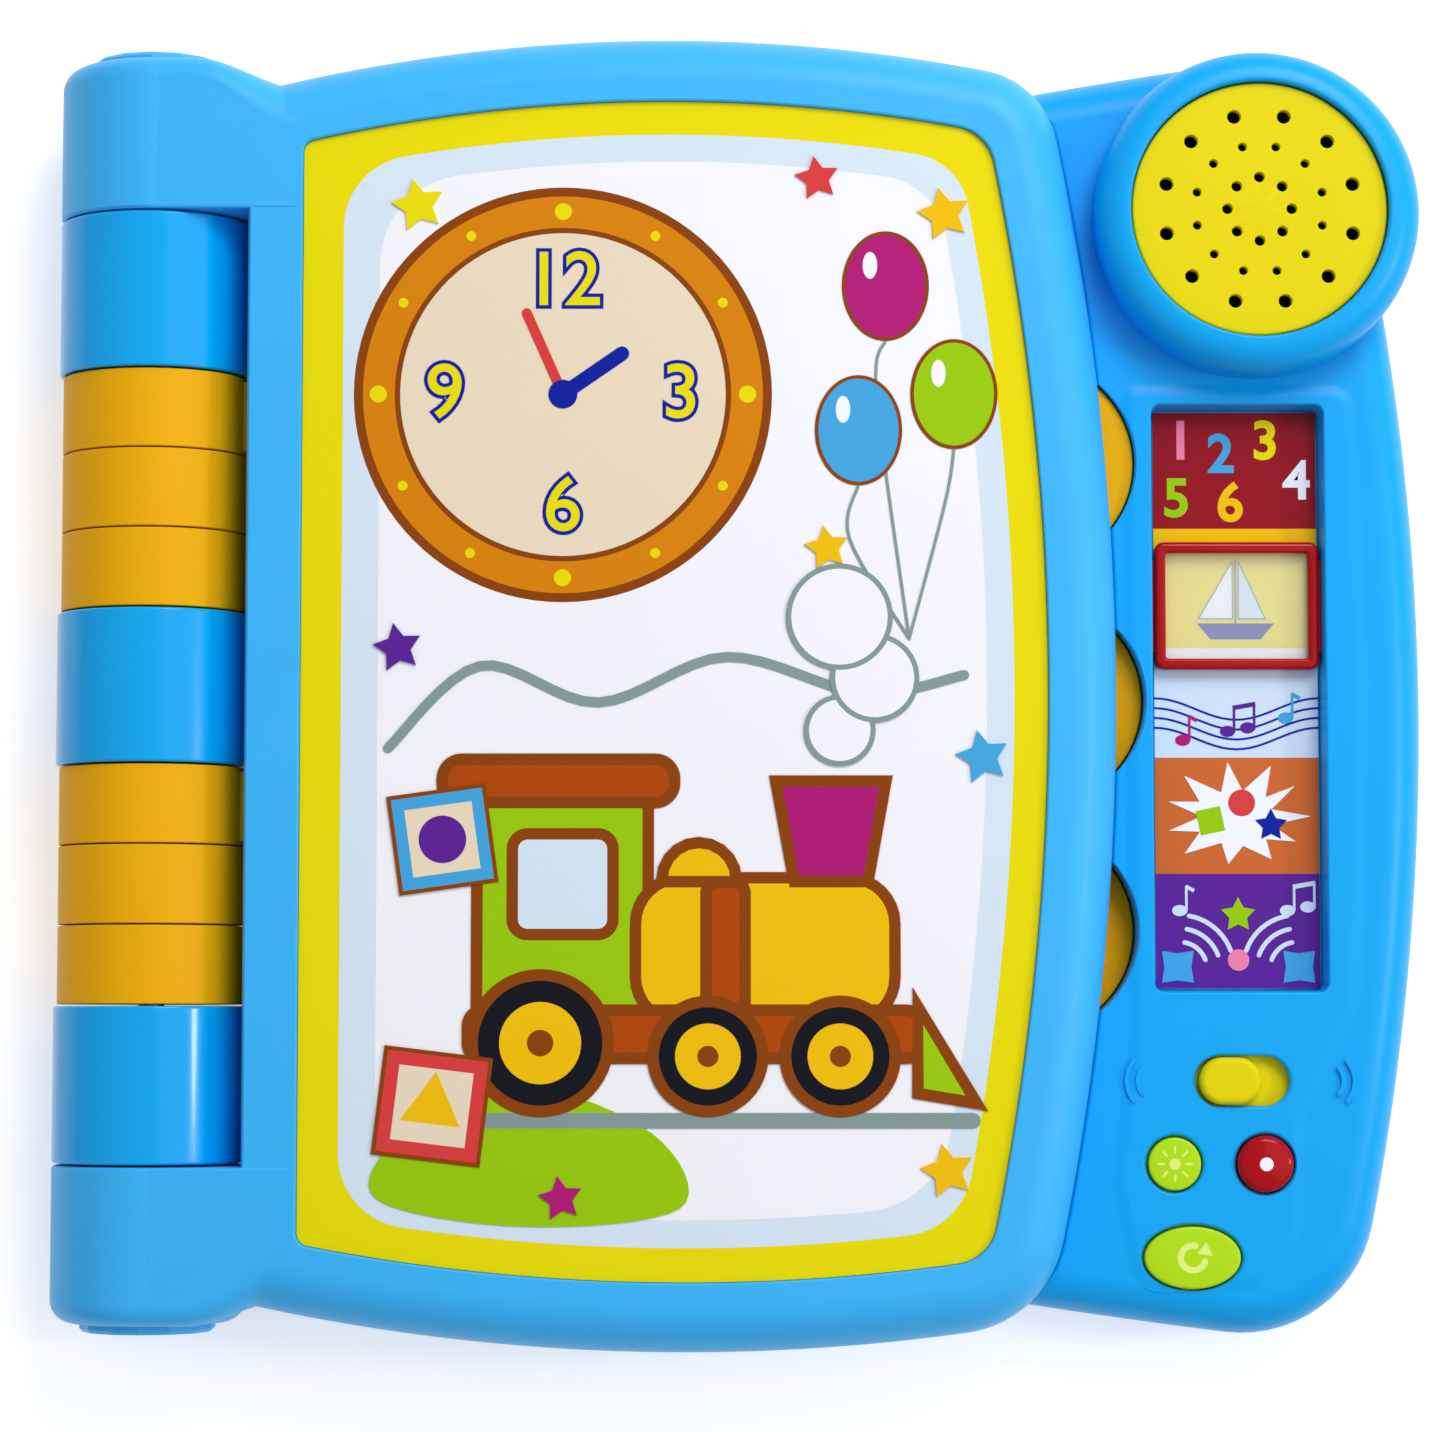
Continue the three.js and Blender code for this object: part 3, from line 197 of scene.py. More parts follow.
def evaluated_mesh(obj):
    bpy.context.view_layer.update()
    graph = bpy.context.evaluated_depsgraph_get()
    return bpy.data.meshes.new_from_object(obj.evaluated_get(graph))


def raw(name, verts, faces):
    mesh = bpy.data.meshes.new(name)
    mesh.from_pydata([place(*v) for v in verts], [], faces)
    work = bmesh.new()
    work.from_mesh(mesh)
    bmesh.ops.remove_doubles(work, verts=work.verts, dist=1e-7)
    bmesh.ops.recalc_face_normals(work, faces=work.faces)
    work.to_mesh(mesh)
    work.free()
    return linked(name, mesh)


def bake_modifiers(obj):
    mesh = evaluated_mesh(obj)
    obj.modifiers.clear()
    obj.data = mesh


def combine(target, tools, how):
    for tool in tools:
        modifier = target.modifiers.new("cut", "BOOLEAN")
        modifier.operation = how
        modifier.solver = "MANIFOLD"
        modifier.object = tool
        faces = len(target.data.polygons)
        bake_modifiers(target)
        if len(target.data.polygons) < faces / 8:
            raise ValueError("%s lost its faces to %s" % (target.name, tool.name))
        bpy.data.objects.remove(tool)
    return target


def join(target, *tools):
    return combine(target, tools, "UNION")


def cut(target, *tools):
    return combine(target, tools, "DIFFERENCE")


def loft(name, levels):
    """Levels are pairs of height and outline, with the same count of points in each outline."""
    count = len(levels[0][1])
    verts = [(x, y, z) for z, outline in levels for x, y in outline]
    faces = []
    for level in range(len(levels) - 1):
        for i in range(count):
            a = level * count + i
            b = level * count + (i + 1) % count
            faces.append((a, b, b + count, a + count))
    faces.append(tuple(range(count))[::-1])
    faces.append(tuple(range((len(levels) - 1) * count, len(levels) * count)))
    return raw(name, verts, faces)


def slab(name, outline, low, high):
    return loft(name, [(low, outline), (high, outline)])


def lathe(name, profile, to_point, sides, closed=False):
    """Profile points are pairs of radius and height; an end on the axis closes there."""
    verts = []
    rows = []
    for r, h in profile:
        if r == 0:
            rows.append([len(verts)] * sides)
            verts.append(to_point(0, h, 0))
        else:
            rows.append(list(range(len(verts), len(verts) + sides)))
            verts.extend(to_point(r, h, 2 * math.pi * i / sides) for i in range(sides))
    if closed:
        rows.append(rows[0])
    faces = []
    for low, high in zip(rows, rows[1:]):
        for i in range(sides):
            j = (i + 1) % sides
            corners = [low[i], low[j], high[j], high[i]]
            unique = list(dict.fromkeys(corners))
            if len(unique) > 2:
                faces.append(tuple(unique))
    return raw(name, verts, faces)


def turned(name, profile, x, y):
    return lathe(name, profile, lambda r, h, a: (x + r * math.cos(a), y + r * math.sin(a), h),
                 TURRET_SIDES)


def on_spine(name, profile):
    return lathe(name, profile, lambda r, h, a: (r * math.cos(a), h, AXIS + r * math.sin(a)),
                 BARREL_SIDES, closed=True)


# Outlines

def arc(centre, radius, start, end, steps):
    return [(centre[0] + radius * math.cos(start + (end - start) * i / steps),
             centre[1] + radius * math.sin(start + (end - start) * i / steps)) for i in range(steps + 1)]


def ellipse(x, y, a, b, steps=64):
    return [(x + a * math.cos(2 * math.pi * i / steps), y + b * math.sin(2 * math.pi * i / steps))
            for i in range(steps)]


def rounded_box(left, right, low, high, radius, steps=8):
    quarter = math.pi / 2
    corners = [(right - radius, low + radius, -quarter), (right - radius, high - radius, 0),
               (left + radius, high - radius, quarter), (left + radius, low + radius, 2 * quarter)]
    return [p for x, y, start in corners for p in arc((x, y), radius, start, start + quarter, steps)]


def filleted(corners, steps=10):
    """A closed outline through corners that are (x, y, radius)."""
    points = []
    for i, (x, y, radius) in enumerate(corners):
        corner = Vector((x, y))
        before = (Vector(corners[i - 1][:2]) - corner).normalized()
        after = (Vector(corners[(i + 1) % len(corners)][:2]) - corner).normalized()
        half = before.angle(after) / 2
        centre = corner + (before + after).normalized() * radius / math.sin(half)
        start = corner + before * radius / math.tan(half)
        end = corner + after * radius / math.tan(half)
        first = angle_to(centre, start)
        turn = (angle_to(centre, end) - first + math.pi) % (2 * math.pi) - math.pi
        points += arc(centre, radius, first, first + turn, steps)
    return points


def grown(points, distance):
    """A closed outline moved outwards by a distance, or inwards where that is negative."""
    area = sum(x0 * y1 - x1 * y0 for (x0, y0), (x1, y1) in zip(points, points[1:] + points[:1]))
    side = math.copysign(distance, area * distance)
    moved = []
    for i, point in enumerate(points):
        here = Vector(point)
        before = (here - Vector(points[i - 1])).normalized()
        after = (Vector(points[(i + 1) % len(points)]) - here).normalized()
        normal = Vector((before.y + after.y, -before.x - after.x)).normalized()
        stretch = max(0.3, normal.dot(Vector((after.y, -after.x))))
        moved.append(tuple(here + normal * side / stretch))
    return moved


def circles_meet(a, ra, b, rb):
    """Where two circles cross, on the left of the way from a to b."""
    dx, dy = b[0] - a[0], b[1] - a[1]
    distance = math.hypot(dx, dy)
    along = (distance ** 2 + ra ** 2 - rb ** 2) / (2 * distance)
    aside = math.sqrt(ra ** 2 - along ** 2)
    return a[0] + (along * dx - aside * dy) / distance, a[1] + (along * dy + aside * dx) / distance


def angle_to(a, b):
    return math.atan2(b[1] - a[1], b[0] - a[0])


def arched(bottom, right, top, left, corner_low, corner_high, left_radius=0.0):
    """Arcs are (x, y, r). The left side is straight."""
    low = circles_meet(bottom, bottom[2] - corner_low, right, right[2] - corner_low)
    high = circles_meet(right, right[2] - corner_high, top, top[2] - corner_high)
    x = left + left_radius
    low_left = (x, bottom[1] - math.sqrt((bottom[2] - left_radius) ** 2 - (x - bottom[0]) ** 2))
    high_left = (x, top[1] + math.sqrt((top[2] - left_radius) ** 2 - (x - top[0]) ** 2))
    points = arc(bottom, bottom[2], angle_to(bottom, low_left), angle_to(bottom, low), LONG_STEPS)
    points += arc(low, corner_low, angle_to(bottom, low), angle_to(right, low), CORNER_STEPS)[1:]
    points += arc(right, right[2], angle_to(right, low), angle_to(right, high), LONG_STEPS)[1:]
    points += arc(high, corner_high, angle_to(right, high), angle_to(top, high), CORNER_STEPS)[1:]
    points += arc(top, top[2], angle_to(top, high), angle_to(top, high_left), LONG_STEPS)[1:]
    if left_radius > 0:
        points += arc(high_left, left_radius, angle_to(top, high_left), math.pi, CORNER_STEPS)[1:]
        points += arc(low_left, left_radius, -math.pi, angle_to(bottom, low_left), CORNER_STEPS)[:-1]
    return points


def book_arcs(inset):
    return ((BOTTOM_ARC[0], BOOK["bottom"] + BOTTOM_ARC[1], BOTTOM_ARC[1] - inset),
            (BOOK["right"] - RIGHT_ARC, 0.0, RIGHT_ARC - inset),
            (TOP_ARC[0], BOOK["top"] - TOP_ARC[1], TOP_ARC[1] - inset))


def book_outline(inset, left):
    return arched(*book_arcs(inset), left, CORNER_BOTTOM - inset, CORNER_TOP - inset)


def window_outline(inset, corner=10.0, left_corner=3.0):
    return arched(*book_arcs(WINDOW_INSET + inset), WINDOW_LEFT + inset, corner - inset, corner - inset,
                  left_corner - min(inset, 0.5 * left_corner))


def sloped_arc(edge, side, inset):
    x, y, slope = edge
    length = math.hypot(1, slope)
    return (x - side * PANEL_LONG_ARC * slope / length, y + side * PANEL_LONG_ARC / length,
            PANEL_LONG_ARC - inset)


def panel_outline(inset):
    crown, middle, radius = PANEL_RIGHT
    return arched(sloped_arc(PANEL_BOTTOM_EDGE, 1, inset), (crown - radius, middle, radius - inset),
                  sloped_arc(PANEL_TOP_EDGE, -1, inset), PANEL_LEFT + inset,
                  PANEL_CORNER_LOW - inset, PANEL_CORNER_HIGH - inset)


def quarter_round(top, radius, steps=ROUND_STEPS):
    """Pairs of height and inset from a wall over to a flat top."""
    turns = [math.pi / 2 * i / steps for i in range(steps + 1)]
    return [(top - radius + radius * math.sin(t), radius * (1 - math.cos(t))) for t in turns]


def foot_round(bottom, radius, steps=4):
    return [(bottom - z, inset) for z, inset in quarter_round(0, radius, steps)][::-1]


def flared(name, outline_at, floor, top, flare, steps=4):
    """A cutter that rounds the edge that it leaves in a flat top."""
    turns = [math.pi / 2 * i / steps for i in range(steps + 1)]
    levels = [(floor, outline_at(0))]
    levels += [(top - flare + flare * math.sin(t), outline_at(flare * (1 - math.cos(t)))) for t in turns]
    levels.append((top + 2.0, outline_at(flare)))
    return loft(name, levels)


# Materials

def linear(r, g, b):
    def channel(value):
        v = value / 255
        return v / 12.92 if v <= 0.04045 else ((v + 0.055) / 1.055) ** 2.4
    return channel(r), channel(g), channel(b), 1.0


def moulded(name, color, roughness, grain=0.02, grain_size=900.0, mottle=0.03, coat=0.0, gleam=0.2):
    """Moulded plastic: a faint flow mottle, a fine grain and uneven gloss."""
    material = bpy.data.materials.new(name)
    material.use_nodes = True
    nodes = material.node_tree.nodes
    links = material.node_tree.links
    shader = nodes["Principled BSDF"]
    coordinates = nodes.new("ShaderNodeTexCoord")
    flow = nodes.new("ShaderNodeTexNoise")
    flow.inputs["Scale"].default_value = 22.0
    flow.inputs["Detail"].default_value = 3.0
    links.new(coordinates.outputs["Object"], flow.inputs["Vector"])
    tint = nodes.new("ShaderNodeMix")
    tint.data_type = "RGBA"
    base = linear(*color)
    tint.inputs["A"].default_value = tuple(c * (1 - mottle) for c in base[:3]) + (1.0,)
    tint.inputs["B"].default_value = tuple(min(1.0, c * (1 + mottle)) for c in base[:3]) + (1.0,)
    links.new(flow.outputs["Fac"], tint.inputs["Factor"])
    links.new(tint.outputs["Result"], shader.inputs["Base Color"])
    gloss = nodes.new("ShaderNodeMapRange")
    gloss.inputs["To Min"].default_value = roughness * 0.88
    gloss.inputs["To Max"].default_value = roughness * 1.12
    links.new(flow.outputs["Fac"], gloss.inputs["Value"])
    links.new(gloss.outputs["Result"], shader.inputs["Roughness"])
    fine = nodes.new("ShaderNodeTexNoise")
    fine.inputs["Scale"].default_value = grain_size
    fine.inputs["Detail"].default_value = 2.0
    links.new(coordinates.outputs["Object"], fine.inputs["Vector"])
    bump = nodes.new("ShaderNodeBump")
    bump.inputs["Strength"].default_value = grain
    bump.inputs["Distance"].default_value = 0.0004
    links.new(fine.outputs["Fac"], bump.inputs["Height"])
    links.new(bump.outputs["Normal"], shader.inputs["Normal"])
    shader.inputs["Specular IOR Level"].default_value = gleam
    shader.inputs["Coat Weight"].default_value = coat
    shader.inputs["Coat Roughness"].default_value = 0.08
    return material


def metal(name, color, roughness):
    material = moulded(name, color, roughness, grain=0.04, grain_size=1500.0)
    material.node_tree.nodes["Principled BSDF"].inputs["Metallic"].default_value = 1.0
    return material


def clear(name):
    material = moulded(name, (244, 248, 252), 0.08, grain=0.0, gleam=0.5)
    material.node_tree.nodes["Principled BSDF"].inputs["Alpha"].default_value = 0.16
    return material


MATERIALS = {
    "base_plastic": moulded("base_plastic", (0, 166, 242), 0.34, gleam=0.22),
    "barrel_plastic": moulded("barrel_plastic", (0, 168, 242), 0.2, coat=0.16, gleam=0.2),
    # The cover is the same blue plastic as the base; its colour is lifted paler here as a painted sheen,
    # standing in for the soft reflection on its rounded rims and crown.
    "cover_plastic": moulded("cover_plastic", (54, 180, 249), 0.42, gleam=0.3),
    "page_plastic": moulded("page_plastic", (238, 174, 0), 0.5, gleam=0.12),
    "yellow_plastic": moulded("yellow_plastic", (226, 210, 0), 0.4, gleam=0.12),
    "green_plastic": moulded("green_plastic", (176, 222, 0), 0.3, gleam=0.3),
    "red_plastic": moulded("red_plastic", (172, 0, 10), 0.14, coat=0.15, gleam=0.15),
    "clear_plastic": clear("clear_plastic"),
    "steel": metal("steel", (190, 192, 196), 0.32),
    "magnet_iron": metal("magnet_iron", (70, 70, 74), 0.6),
    "speaker_paper": moulded("speaker_paper", (42, 46, 44), 0.85, grain=0.3),
    "circuit_board": moulded("circuit_board", (36, 96, 52), 0.4, mottle=0.2),
    "black_plastic": moulded("black_plastic", (24, 26, 30), 0.5),
    "rubber": moulded("rubber", (32, 32, 34), 0.8, grain=0.1),
    "membrane_film": moulded("membrane_film", (200, 206, 204), 0.4),
    "cell_jacket": moulded("cell_jacket", (40, 44, 50), 0.3, mottle=0.1),
    "printed_card": moulded("printed_card", (240, 238, 226), 0.3, grain=0.01),
}

INKS = {
    "ink_yellow": (233, 219, 0), "ink_sky": (212, 228, 243), "ink_white": (242, 243, 250),
    "ink_brown": (140, 66, 6), "ink_orange": (214, 130, 6), "ink_cream": (232, 216, 190),
    "ink_navy": (6, 32, 158), "ink_amber": (240, 190, 4), "ink_rust": (176, 72, 4),
    "ink_lime": (152, 200, 6), "ink_magenta": (176, 24, 118), "ink_black": (18, 20, 30),
    "ink_blue": (66, 164, 222), "ink_red": (216, 62, 62), "ink_purple": (92, 34, 150),
    "ink_grey": (132, 154, 152), "ink_dark_red": (150, 16, 34), "ink_pink": (238, 130, 170),
    "ink_copper": (206, 104, 48), "ink_pale": (206, 224, 244), "ink_glow": (236, 232, 140),
    "ink_mark": (222, 244, 130),
}
for ink_name, ink_color in INKS.items():
    MATERIALS[ink_name] = moulded(ink_name, ink_color, 0.3, grain=0.008, mottle=0.015, gleam=0.12)


# Dressing a piece: shading, finish and the body that it rides on

def dress(obj, material, body, nodes=()):
    mesh = obj.data
    mesh.materials.clear()
    mesh.materials.append(MATERIALS[material])
    mesh.polygons.foreach_set("use_smooth", [True] * len(mesh.polygons))
    mesh.set_sharp_from_angle(angle=SHARP_ANGLE)
    even = obj.modifiers.new("even", "WEIGHTED_NORMAL")
    even.keep_sharp = True
    bake_modifiers(obj)
    if nodes:
        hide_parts(*nodes)
    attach(obj, body)
    return obj


# Spine barrels

def barrel_profile(low, high, radius, gap, edge):
    low += gap / 2
    high -= gap / 2
    top = [(radius - i, z) for z, i in quarter_round(high, edge, 4)]
    bottom = [(r, low + high - z) for r, z in top][::-1]
    return [(ROD_BORE, low)] + bottom + top + [(ROD_BORE, high)]


def barrel(name, low, high, radius=BARREL, gap=BARREL_GAP, edge=BARREL_EDGE):
    return on_spine(name, barrel_profile(low, high, radius, gap, edge))


def knuckle(name, side):
    low = STATIONS["knuckle"] + BARREL_GAP / 2
    start = [(BARREL - BARREL_EDGE, low), (BARREL, low + BARREL_EDGE)]
    end = [(BARREL - i, z) for z, i in quarter_round(STATIONS["end"], KNUCKLE_ROUND)]
    profile = [(ROD_BORE, low)] + start + end + [(ROD_BORE, STATIONS["end"])]
    return on_spine(name, [(r, side * y) for r, y in profile])


# Cover

def shoulder(x):
    """How far the bridge's outer end has dropped from the knuckle's end, in from the spine."""
    run = min(max((x - SHOULDER_START) / SHOULDER_RUN, 0.0), 1.0)
    return SHOULDER_DROP * run * run * (3 - 2 * run)


def bridge(side):
    """Fills the corner between a knuckle and the cover. Its flat top lies just above the cover's, and
    its outer round grows from the knuckle's to the cover's."""
    inner = STATIONS["knuckle"] + BARREL_GAP / 2
    outer = STATIONS["end"]
    crest = CROWN + BRIDGE_PROUD

    def outer_inset(x, z):
        share = shoulder(x) / SHOULDER_DROP
        radius = KNUCKLE_ROUND + (EDGE_ROUND - KNUCKLE_ROUND) * share
        rise = min(max(0.0, z - (crest - radius)), radius)
        return radius - math.sqrt(radius * radius - rise * rise)

    def outline(z):
        rise = min(max(0.0, z - (crest - BARREL_EDGE)) / BARREL_EDGE, 1.0)
        inner_inset = BARREL_EDGE * (1 - math.sqrt(1 - rise * rise))
        xs = [BRIDGE_RIGHT * i / BRIDGE_STEPS for i in range(BRIDGE_STEPS + 1)]
        points = [(x, inner + inner_inset) for x in xs]
        points += [(x, outer - shoulder(x) - outer_inset(x, z)) for x in xs[::-1]]
        return [(x, side * y) for x, y in points[::side]]

    heights = [UNDERSIDE + COVER_FOOT[-1][0]]
    heights += [z for z, inset in quarter_round(crest, EDGE_ROUND, COVER_STEPS)]
    return loft("bridge", [(z, outline(z)) for z in heights])


def cover_frame():
    levels = [(UNDERSIDE + rise, inset) for rise, inset in COVER_FOOT]
    levels += quarter_round(CROWN, EDGE_ROUND, COVER_STEPS)
    frame_piece = loft("cover_shell", [(z, book_outline(i, COVER_LEFT + COVER_LEFT_SHARE * i))
                                       for z, i in levels])
    for side in (1, -1):
        join(frame_piece, bridge(side), knuckle("knuckle", side))
    back_room = slab("back_room", book_outline(WALL, BOOK["left"] + WALL),
                     UNDERSIDE - 1, UNDERSIDE + BACK_DEPTH)
    window = flared("window", lambda grow: window_outline(-grow), CROWN - WINDOW_DEPTH, CROWN, 0.5)
    cut(frame_piece, window, back_room)
    return dress(frame_piece, "cover_plastic", "cover", nodes=["cover_frame"])


# Pages

def tab_outline(tip, y, grow):
    return ellipse(tip - TAB_RADIUS, y, TAB_RADIUS + grow, TAB_RADIUS + grow, TAB_STEPS)


def page(k):
    middle = AXIS + (1 - k) * PAGE_PITCH
    low, high = middle - PAGE_THICKNESS / 2, middle + PAGE_THICKNESS / 2
    tip, tab_y = TABS[k]
    levels = [(low, PAGE_EDGE), (low + PAGE_EDGE, 0.0), (high - PAGE_EDGE, 0.0),
              (high - 0.3 * PAGE_EDGE, 0.3 * PAGE_EDGE), (high, PAGE_EDGE)]
    leaf = loft("page_%d" % (k + 1), [(z, book_outline(PAGE_INSET + i, PAGE_LEFT + PAGE_LEFT_SHARE * i))
                                      for z, i in levels])
    join(leaf, loft("tab", [(z, tab_outline(tip, tab_y, -i)) for z, i in levels]))
    for top in (STATIONS["side"], -STATIONS["middle"]):
        end = top - k * STATIONS["rings"]
        start = end - STATIONS["rings"]
        web = slab("web", rounded_box(WEB_LEFT, WEB_RIGHT, start + WEB_MARGIN, end - WEB_MARGIN, 0.3, 2),
                   low, high)
        join(leaf, web, barrel("ring", start, end, PAGE_RING, RING_GAP, RING_EDGE))
    for z0, z1 in ((high - CARD_DEPTH, high + 1), (low - 1, low + CARD_DEPTH)):
        cut(leaf, slab("card_room", book_outline(CARD_INSET, CARD_LEFT), z0, z1))
    return dress(leaf, "page_plastic", "page_%d" % (k + 1), nodes=["page_%d_leaf" % (k + 1)])


# Base

def under_outline(inset):
    return book_outline(1.0 + inset, 22.8 + inset)


# Corners of the raised field around the mode window and the controls, each with its radius
ISLAND = [(215, 69, 4), (269, 69, 7), (271.5, 0, 80), (269, -70, 16), (256, -96, 12), (256, -120, 12),
          (246, -133.5, 8), (217, -133.5, 8), (212, -108, 14), (216, -78, 14)]


def island():
    field = filleted(ISLAND)
    steps = 8
    levels = [(PANEL - 1.0, field)]
    levels += [(PANEL - 0.02 + ISLAND_RISE * 0.5 * (1 - math.cos(math.pi * i / steps)),
                grown(field, -ISLAND_SLOPE * i / steps)) for i in range(1, steps + 1)]
    return loft("island", levels)


def base_body(name):
    feet = foot_round(0, FOOT_ROUND)
    body = loft(name, [(z, under_outline(i)) for z, i in feet + [(BED, 0.0)]])
    rise = feet + quarter_round(PANEL, PANEL_ROUND, PANEL_STEPS)
    panel = loft("panel", [(z, panel_outline(i)) for z, i in rise])
    walls = feet + quarter_round(TURRET_TOP, TURRET_ROUND, PANEL_STEPS)
    profile = [(0, 0)] + [(TURRET_RADIUS - i, z) for z, i in walls] + [(0, TURRET_TOP)]
    tower = turned("tower", profile, *TURRET)
    return join(body, panel, tower, island())


def well(name, grow, floor):
    """The room for the cover and the page tabs, with the panel's edge rounded over."""
    return flared(name, lambda flare: book_outline(-grow - flare, 0.0), floor, PANEL, 0.8)


def tab_rooms(grow, floor):
    return [flared("tab_room", lambda flare: tab_outline(tip, y, grow + flare), floor, PANEL, 0.3)
            for tip, y in TABS]


def mode_outline(grow, corner, steps=8):
    return rounded_box(MODE["left"] - grow, MODE["right"] + grow, MODE["bottom"] - grow,
                       MODE["top"] + grow, corner, steps)


def base_hollow():
    inner = [(z, i + WALL) for z, i in quarter_round(PANEL - WALL, PANEL_ROUND - WALL, 4)]
    hollow = loft("hollow", [(z, panel_outline(i)) for z, i in [(WALL, WALL + 2.0)] + inner])
    cut(hollow, slab("kept", book_outline(-BOOK_WALL, 0.0), BED - WALL, PANEL),
        slab("tub", mode_outline(WALL, 0.5, 2), MODE_FLOOR - WALL, PANEL))
    for tip, y in TABS:
        cut(hollow, slab("tab_wall", tab_outline(tip, y, TAB_GAP + WALL),
                         BED - WALL - OVERLAP, PANEL - OVERLAP))
    return hollow


def grille_room_profile():
    seat = GRILLE_TOP - GRILLE_THICKNESS
    inner, outer = GRILLE_RADIUS - GRILLE_SEAT, GRILLE_RADIUS + GRILLE_GAP
    edge = GRILLE_ROOM_ROUND
    over = [(outer + edge * (1 - math.cos(t)), TURRET_TOP - edge + edge * math.sin(t)) for t in EDGE_TURNS]
    return ([(0, BED), (inner, BED), (inner, seat), (outer, seat)] + over
            + [(outer + edge, TURRET_TOP + 1), (0, TURRET_TOP + 1)])


def driver_room_profile():
    radius, top = TURRET_RADIUS - WALL, GRILLE_TOP - DRIVER_DEPTH
    return [(0, 5), (radius, 5), (radius, top), (0, top)]


# A block wider than the whole base, to cut it at the parting line
ALL_ROUND = (-40, 320, -200, 200, 1, 1)


def upper_shell():
    shell = base_body("base_upper")
    cut(shell, slab("lower_half", rounded_box(*ALL_ROUND), -5, PARTING + PARTING_GAP / 2),
        well("well", WELL_GAP, BED), *tab_rooms(TAB_GAP, BED + OVERLAP), base_hollow())
    top = PANEL + ISLAND_RISE
    draft = [(MODE_FLOOR, -0.5), (PANEL - 0.8, 0)]
    draft += [(top - MODE_EDGE * (1 - math.sin(t)), MODE_EDGE * (1 - math.cos(t))) for t in EDGE_TURNS]
    draft.append((top + 2, MODE_EDGE))
    cut(shell, loft("mode_room", [(z, mode_outline(grow, 2 + grow)) for z, grow in draft]),
        flared("slot_room", slot_outline, BED, top, 0.8))
    for x, y, a, b, _, _ in BUTTONS.values():
        cut(shell, flared("key_room", lambda g: ellipse(x, y, a + KEY_GAP + g, b + KEY_GAP + g),
                          BED, top, 0.9))
    cut(shell, turned("grille_room", grille_room_profile(), *TURRET),
        turned("driver_room", driver_room_profile(), *TURRET))
    return dress(shell, "base_plastic", "base", nodes=["base_upper_shell"])


def lower_shell():
    shell = base_body("base_lower")
    high = PARTING - PARTING_GAP / 2
    cut(shell, slab("upper_half", rounded_box(*ALL_ROUND), high, 60))
    hollow = [(z, i + WALL) for z, i in foot_round(WALL, FOOT_ROUND - WALL, 2)]
    cut(shell, loft("hollow", [(z, panel_outline(i)) for z, i in hollow + [(high + 1, WALL)]]))
    cut(shell, slab("door_room", rounded_box(*plan_box("battery_door", 0.3), 1.5), -1, 2.6))
    for i in range(8):
        screw_low, screw_high = node_box("base_screw_%d" % (i + 1))
        middle = (screw_low + screw_high) / 2 - ORIGIN
        cut(shell, slab("sink", ellipse(middle.x, middle.y, 3.3, 3.3, 24), -1, 4.6))
    return dress(shell, "base_plastic", "base", nodes=["base_lower_shell"])


def base_barrels():
    side, knuckle_start, middle = STATIONS["side"], STATIONS["knuckle"], STATIONS["middle"]
    for number, (low, high) in enumerate([(-knuckle_start, -side), (-middle, middle), (side, knuckle_start)]):
        piece = barrel("base_barrel_%d" % (number + 1), low, high)
        y0, y1 = low + WEB_MARGIN, high - WEB_MARGIN
        join(piece, slab("foot", rounded_box(1.0, 22.5, y0, y1, 0.3, 2), 0, 13.0),
             slab("root", rounded_box(20.0, 22.9, y0, y1, 0.3, 2), FOOT_ROUND, PARTING - PARTING_GAP))
        dress(piece, "barrel_plastic", "base")


# Fittings on the panel

def round_ended(left, right, half):
    """A bar along the volume slot, with fully rounded ends."""
    return rounded_box(left, right, SLOT["y"] - half, SLOT["y"] + half, half - 0.01, 12)


def slot_outline(grow):
    return round_ended(SLOT["left"] - grow, SLOT["right"] + grow, SLOT["height"] / 2 + grow)


def grille():
    x, y = TURRET
    low = GRILLE_TOP - GRILLE_THICKNESS
    crown = [(GRILLE_RADIUS - i, z) for z, i in quarter_round(GRILLE_TOP, 0.6, 4)]
    plate = turned("grille", [(0, low), (GRILLE_RADIUS, low)] + crown + [(0, GRILLE_TOP)], x, y)
    for count, radius, hole, turn in HOLE_RINGS:
        for i in range(count):
            angle = math.radians(turn + 360 * i / count)
            hx, hy = x + radius * math.cos(angle), y + radius * math.sin(angle)
            cut(plate, flared("hole", lambda g: ellipse(hx, hy, hole + g, hole + g, 24),
                              low - 1, GRILLE_TOP, 0.25, 2))
    return dress(plate, "yellow_plastic", "base", nodes=["speaker_grille"])


def button(name, material):
    x, y, a, b, proud, dome = BUTTONS[name]
    top = PANEL + proud
    levels = [(KEY_PLATE[0], -1.0), (KEY_PLATE[1], -1.0), (KEY_PLATE[1], 0.0)] + quarter_round(top, dome)
    levels += [(top + dome * share, dome + (min(a, b) - dome) * run)
               for share, run in ((0.10, 0.12), (0.2, 0.35), (0.26, 0.6), (0.29, 0.85))]
    cap = loft(name, [(z, ellipse(x, y, a - i, b - i)) for z, i in levels])
    return dress(cap, material, name, nodes=[name])


def volume_slider():
    left, right = SLOT["left"] + KNOB_GAP, SLOT["left"] + KNOB_GAP + KNOB_LENGTH
    half = SLOT["height"] / 2 - KNOB_SIDE_GAP
    levels = [(25.0, 0.0)] + quarter_round(PANEL + 2.2, 1.4)
    knob = loft("volume_knob", [(z, round_ended(left + i, right - i, half - i)) for z, i in levels])
    join(knob, slab("plate", rounded_box(*plan_box("volume_slider"), 1.0), *KEY_PLATE))
    return dress(knob, "yellow_plastic", "volume_slider", nodes=["volume_slider"])


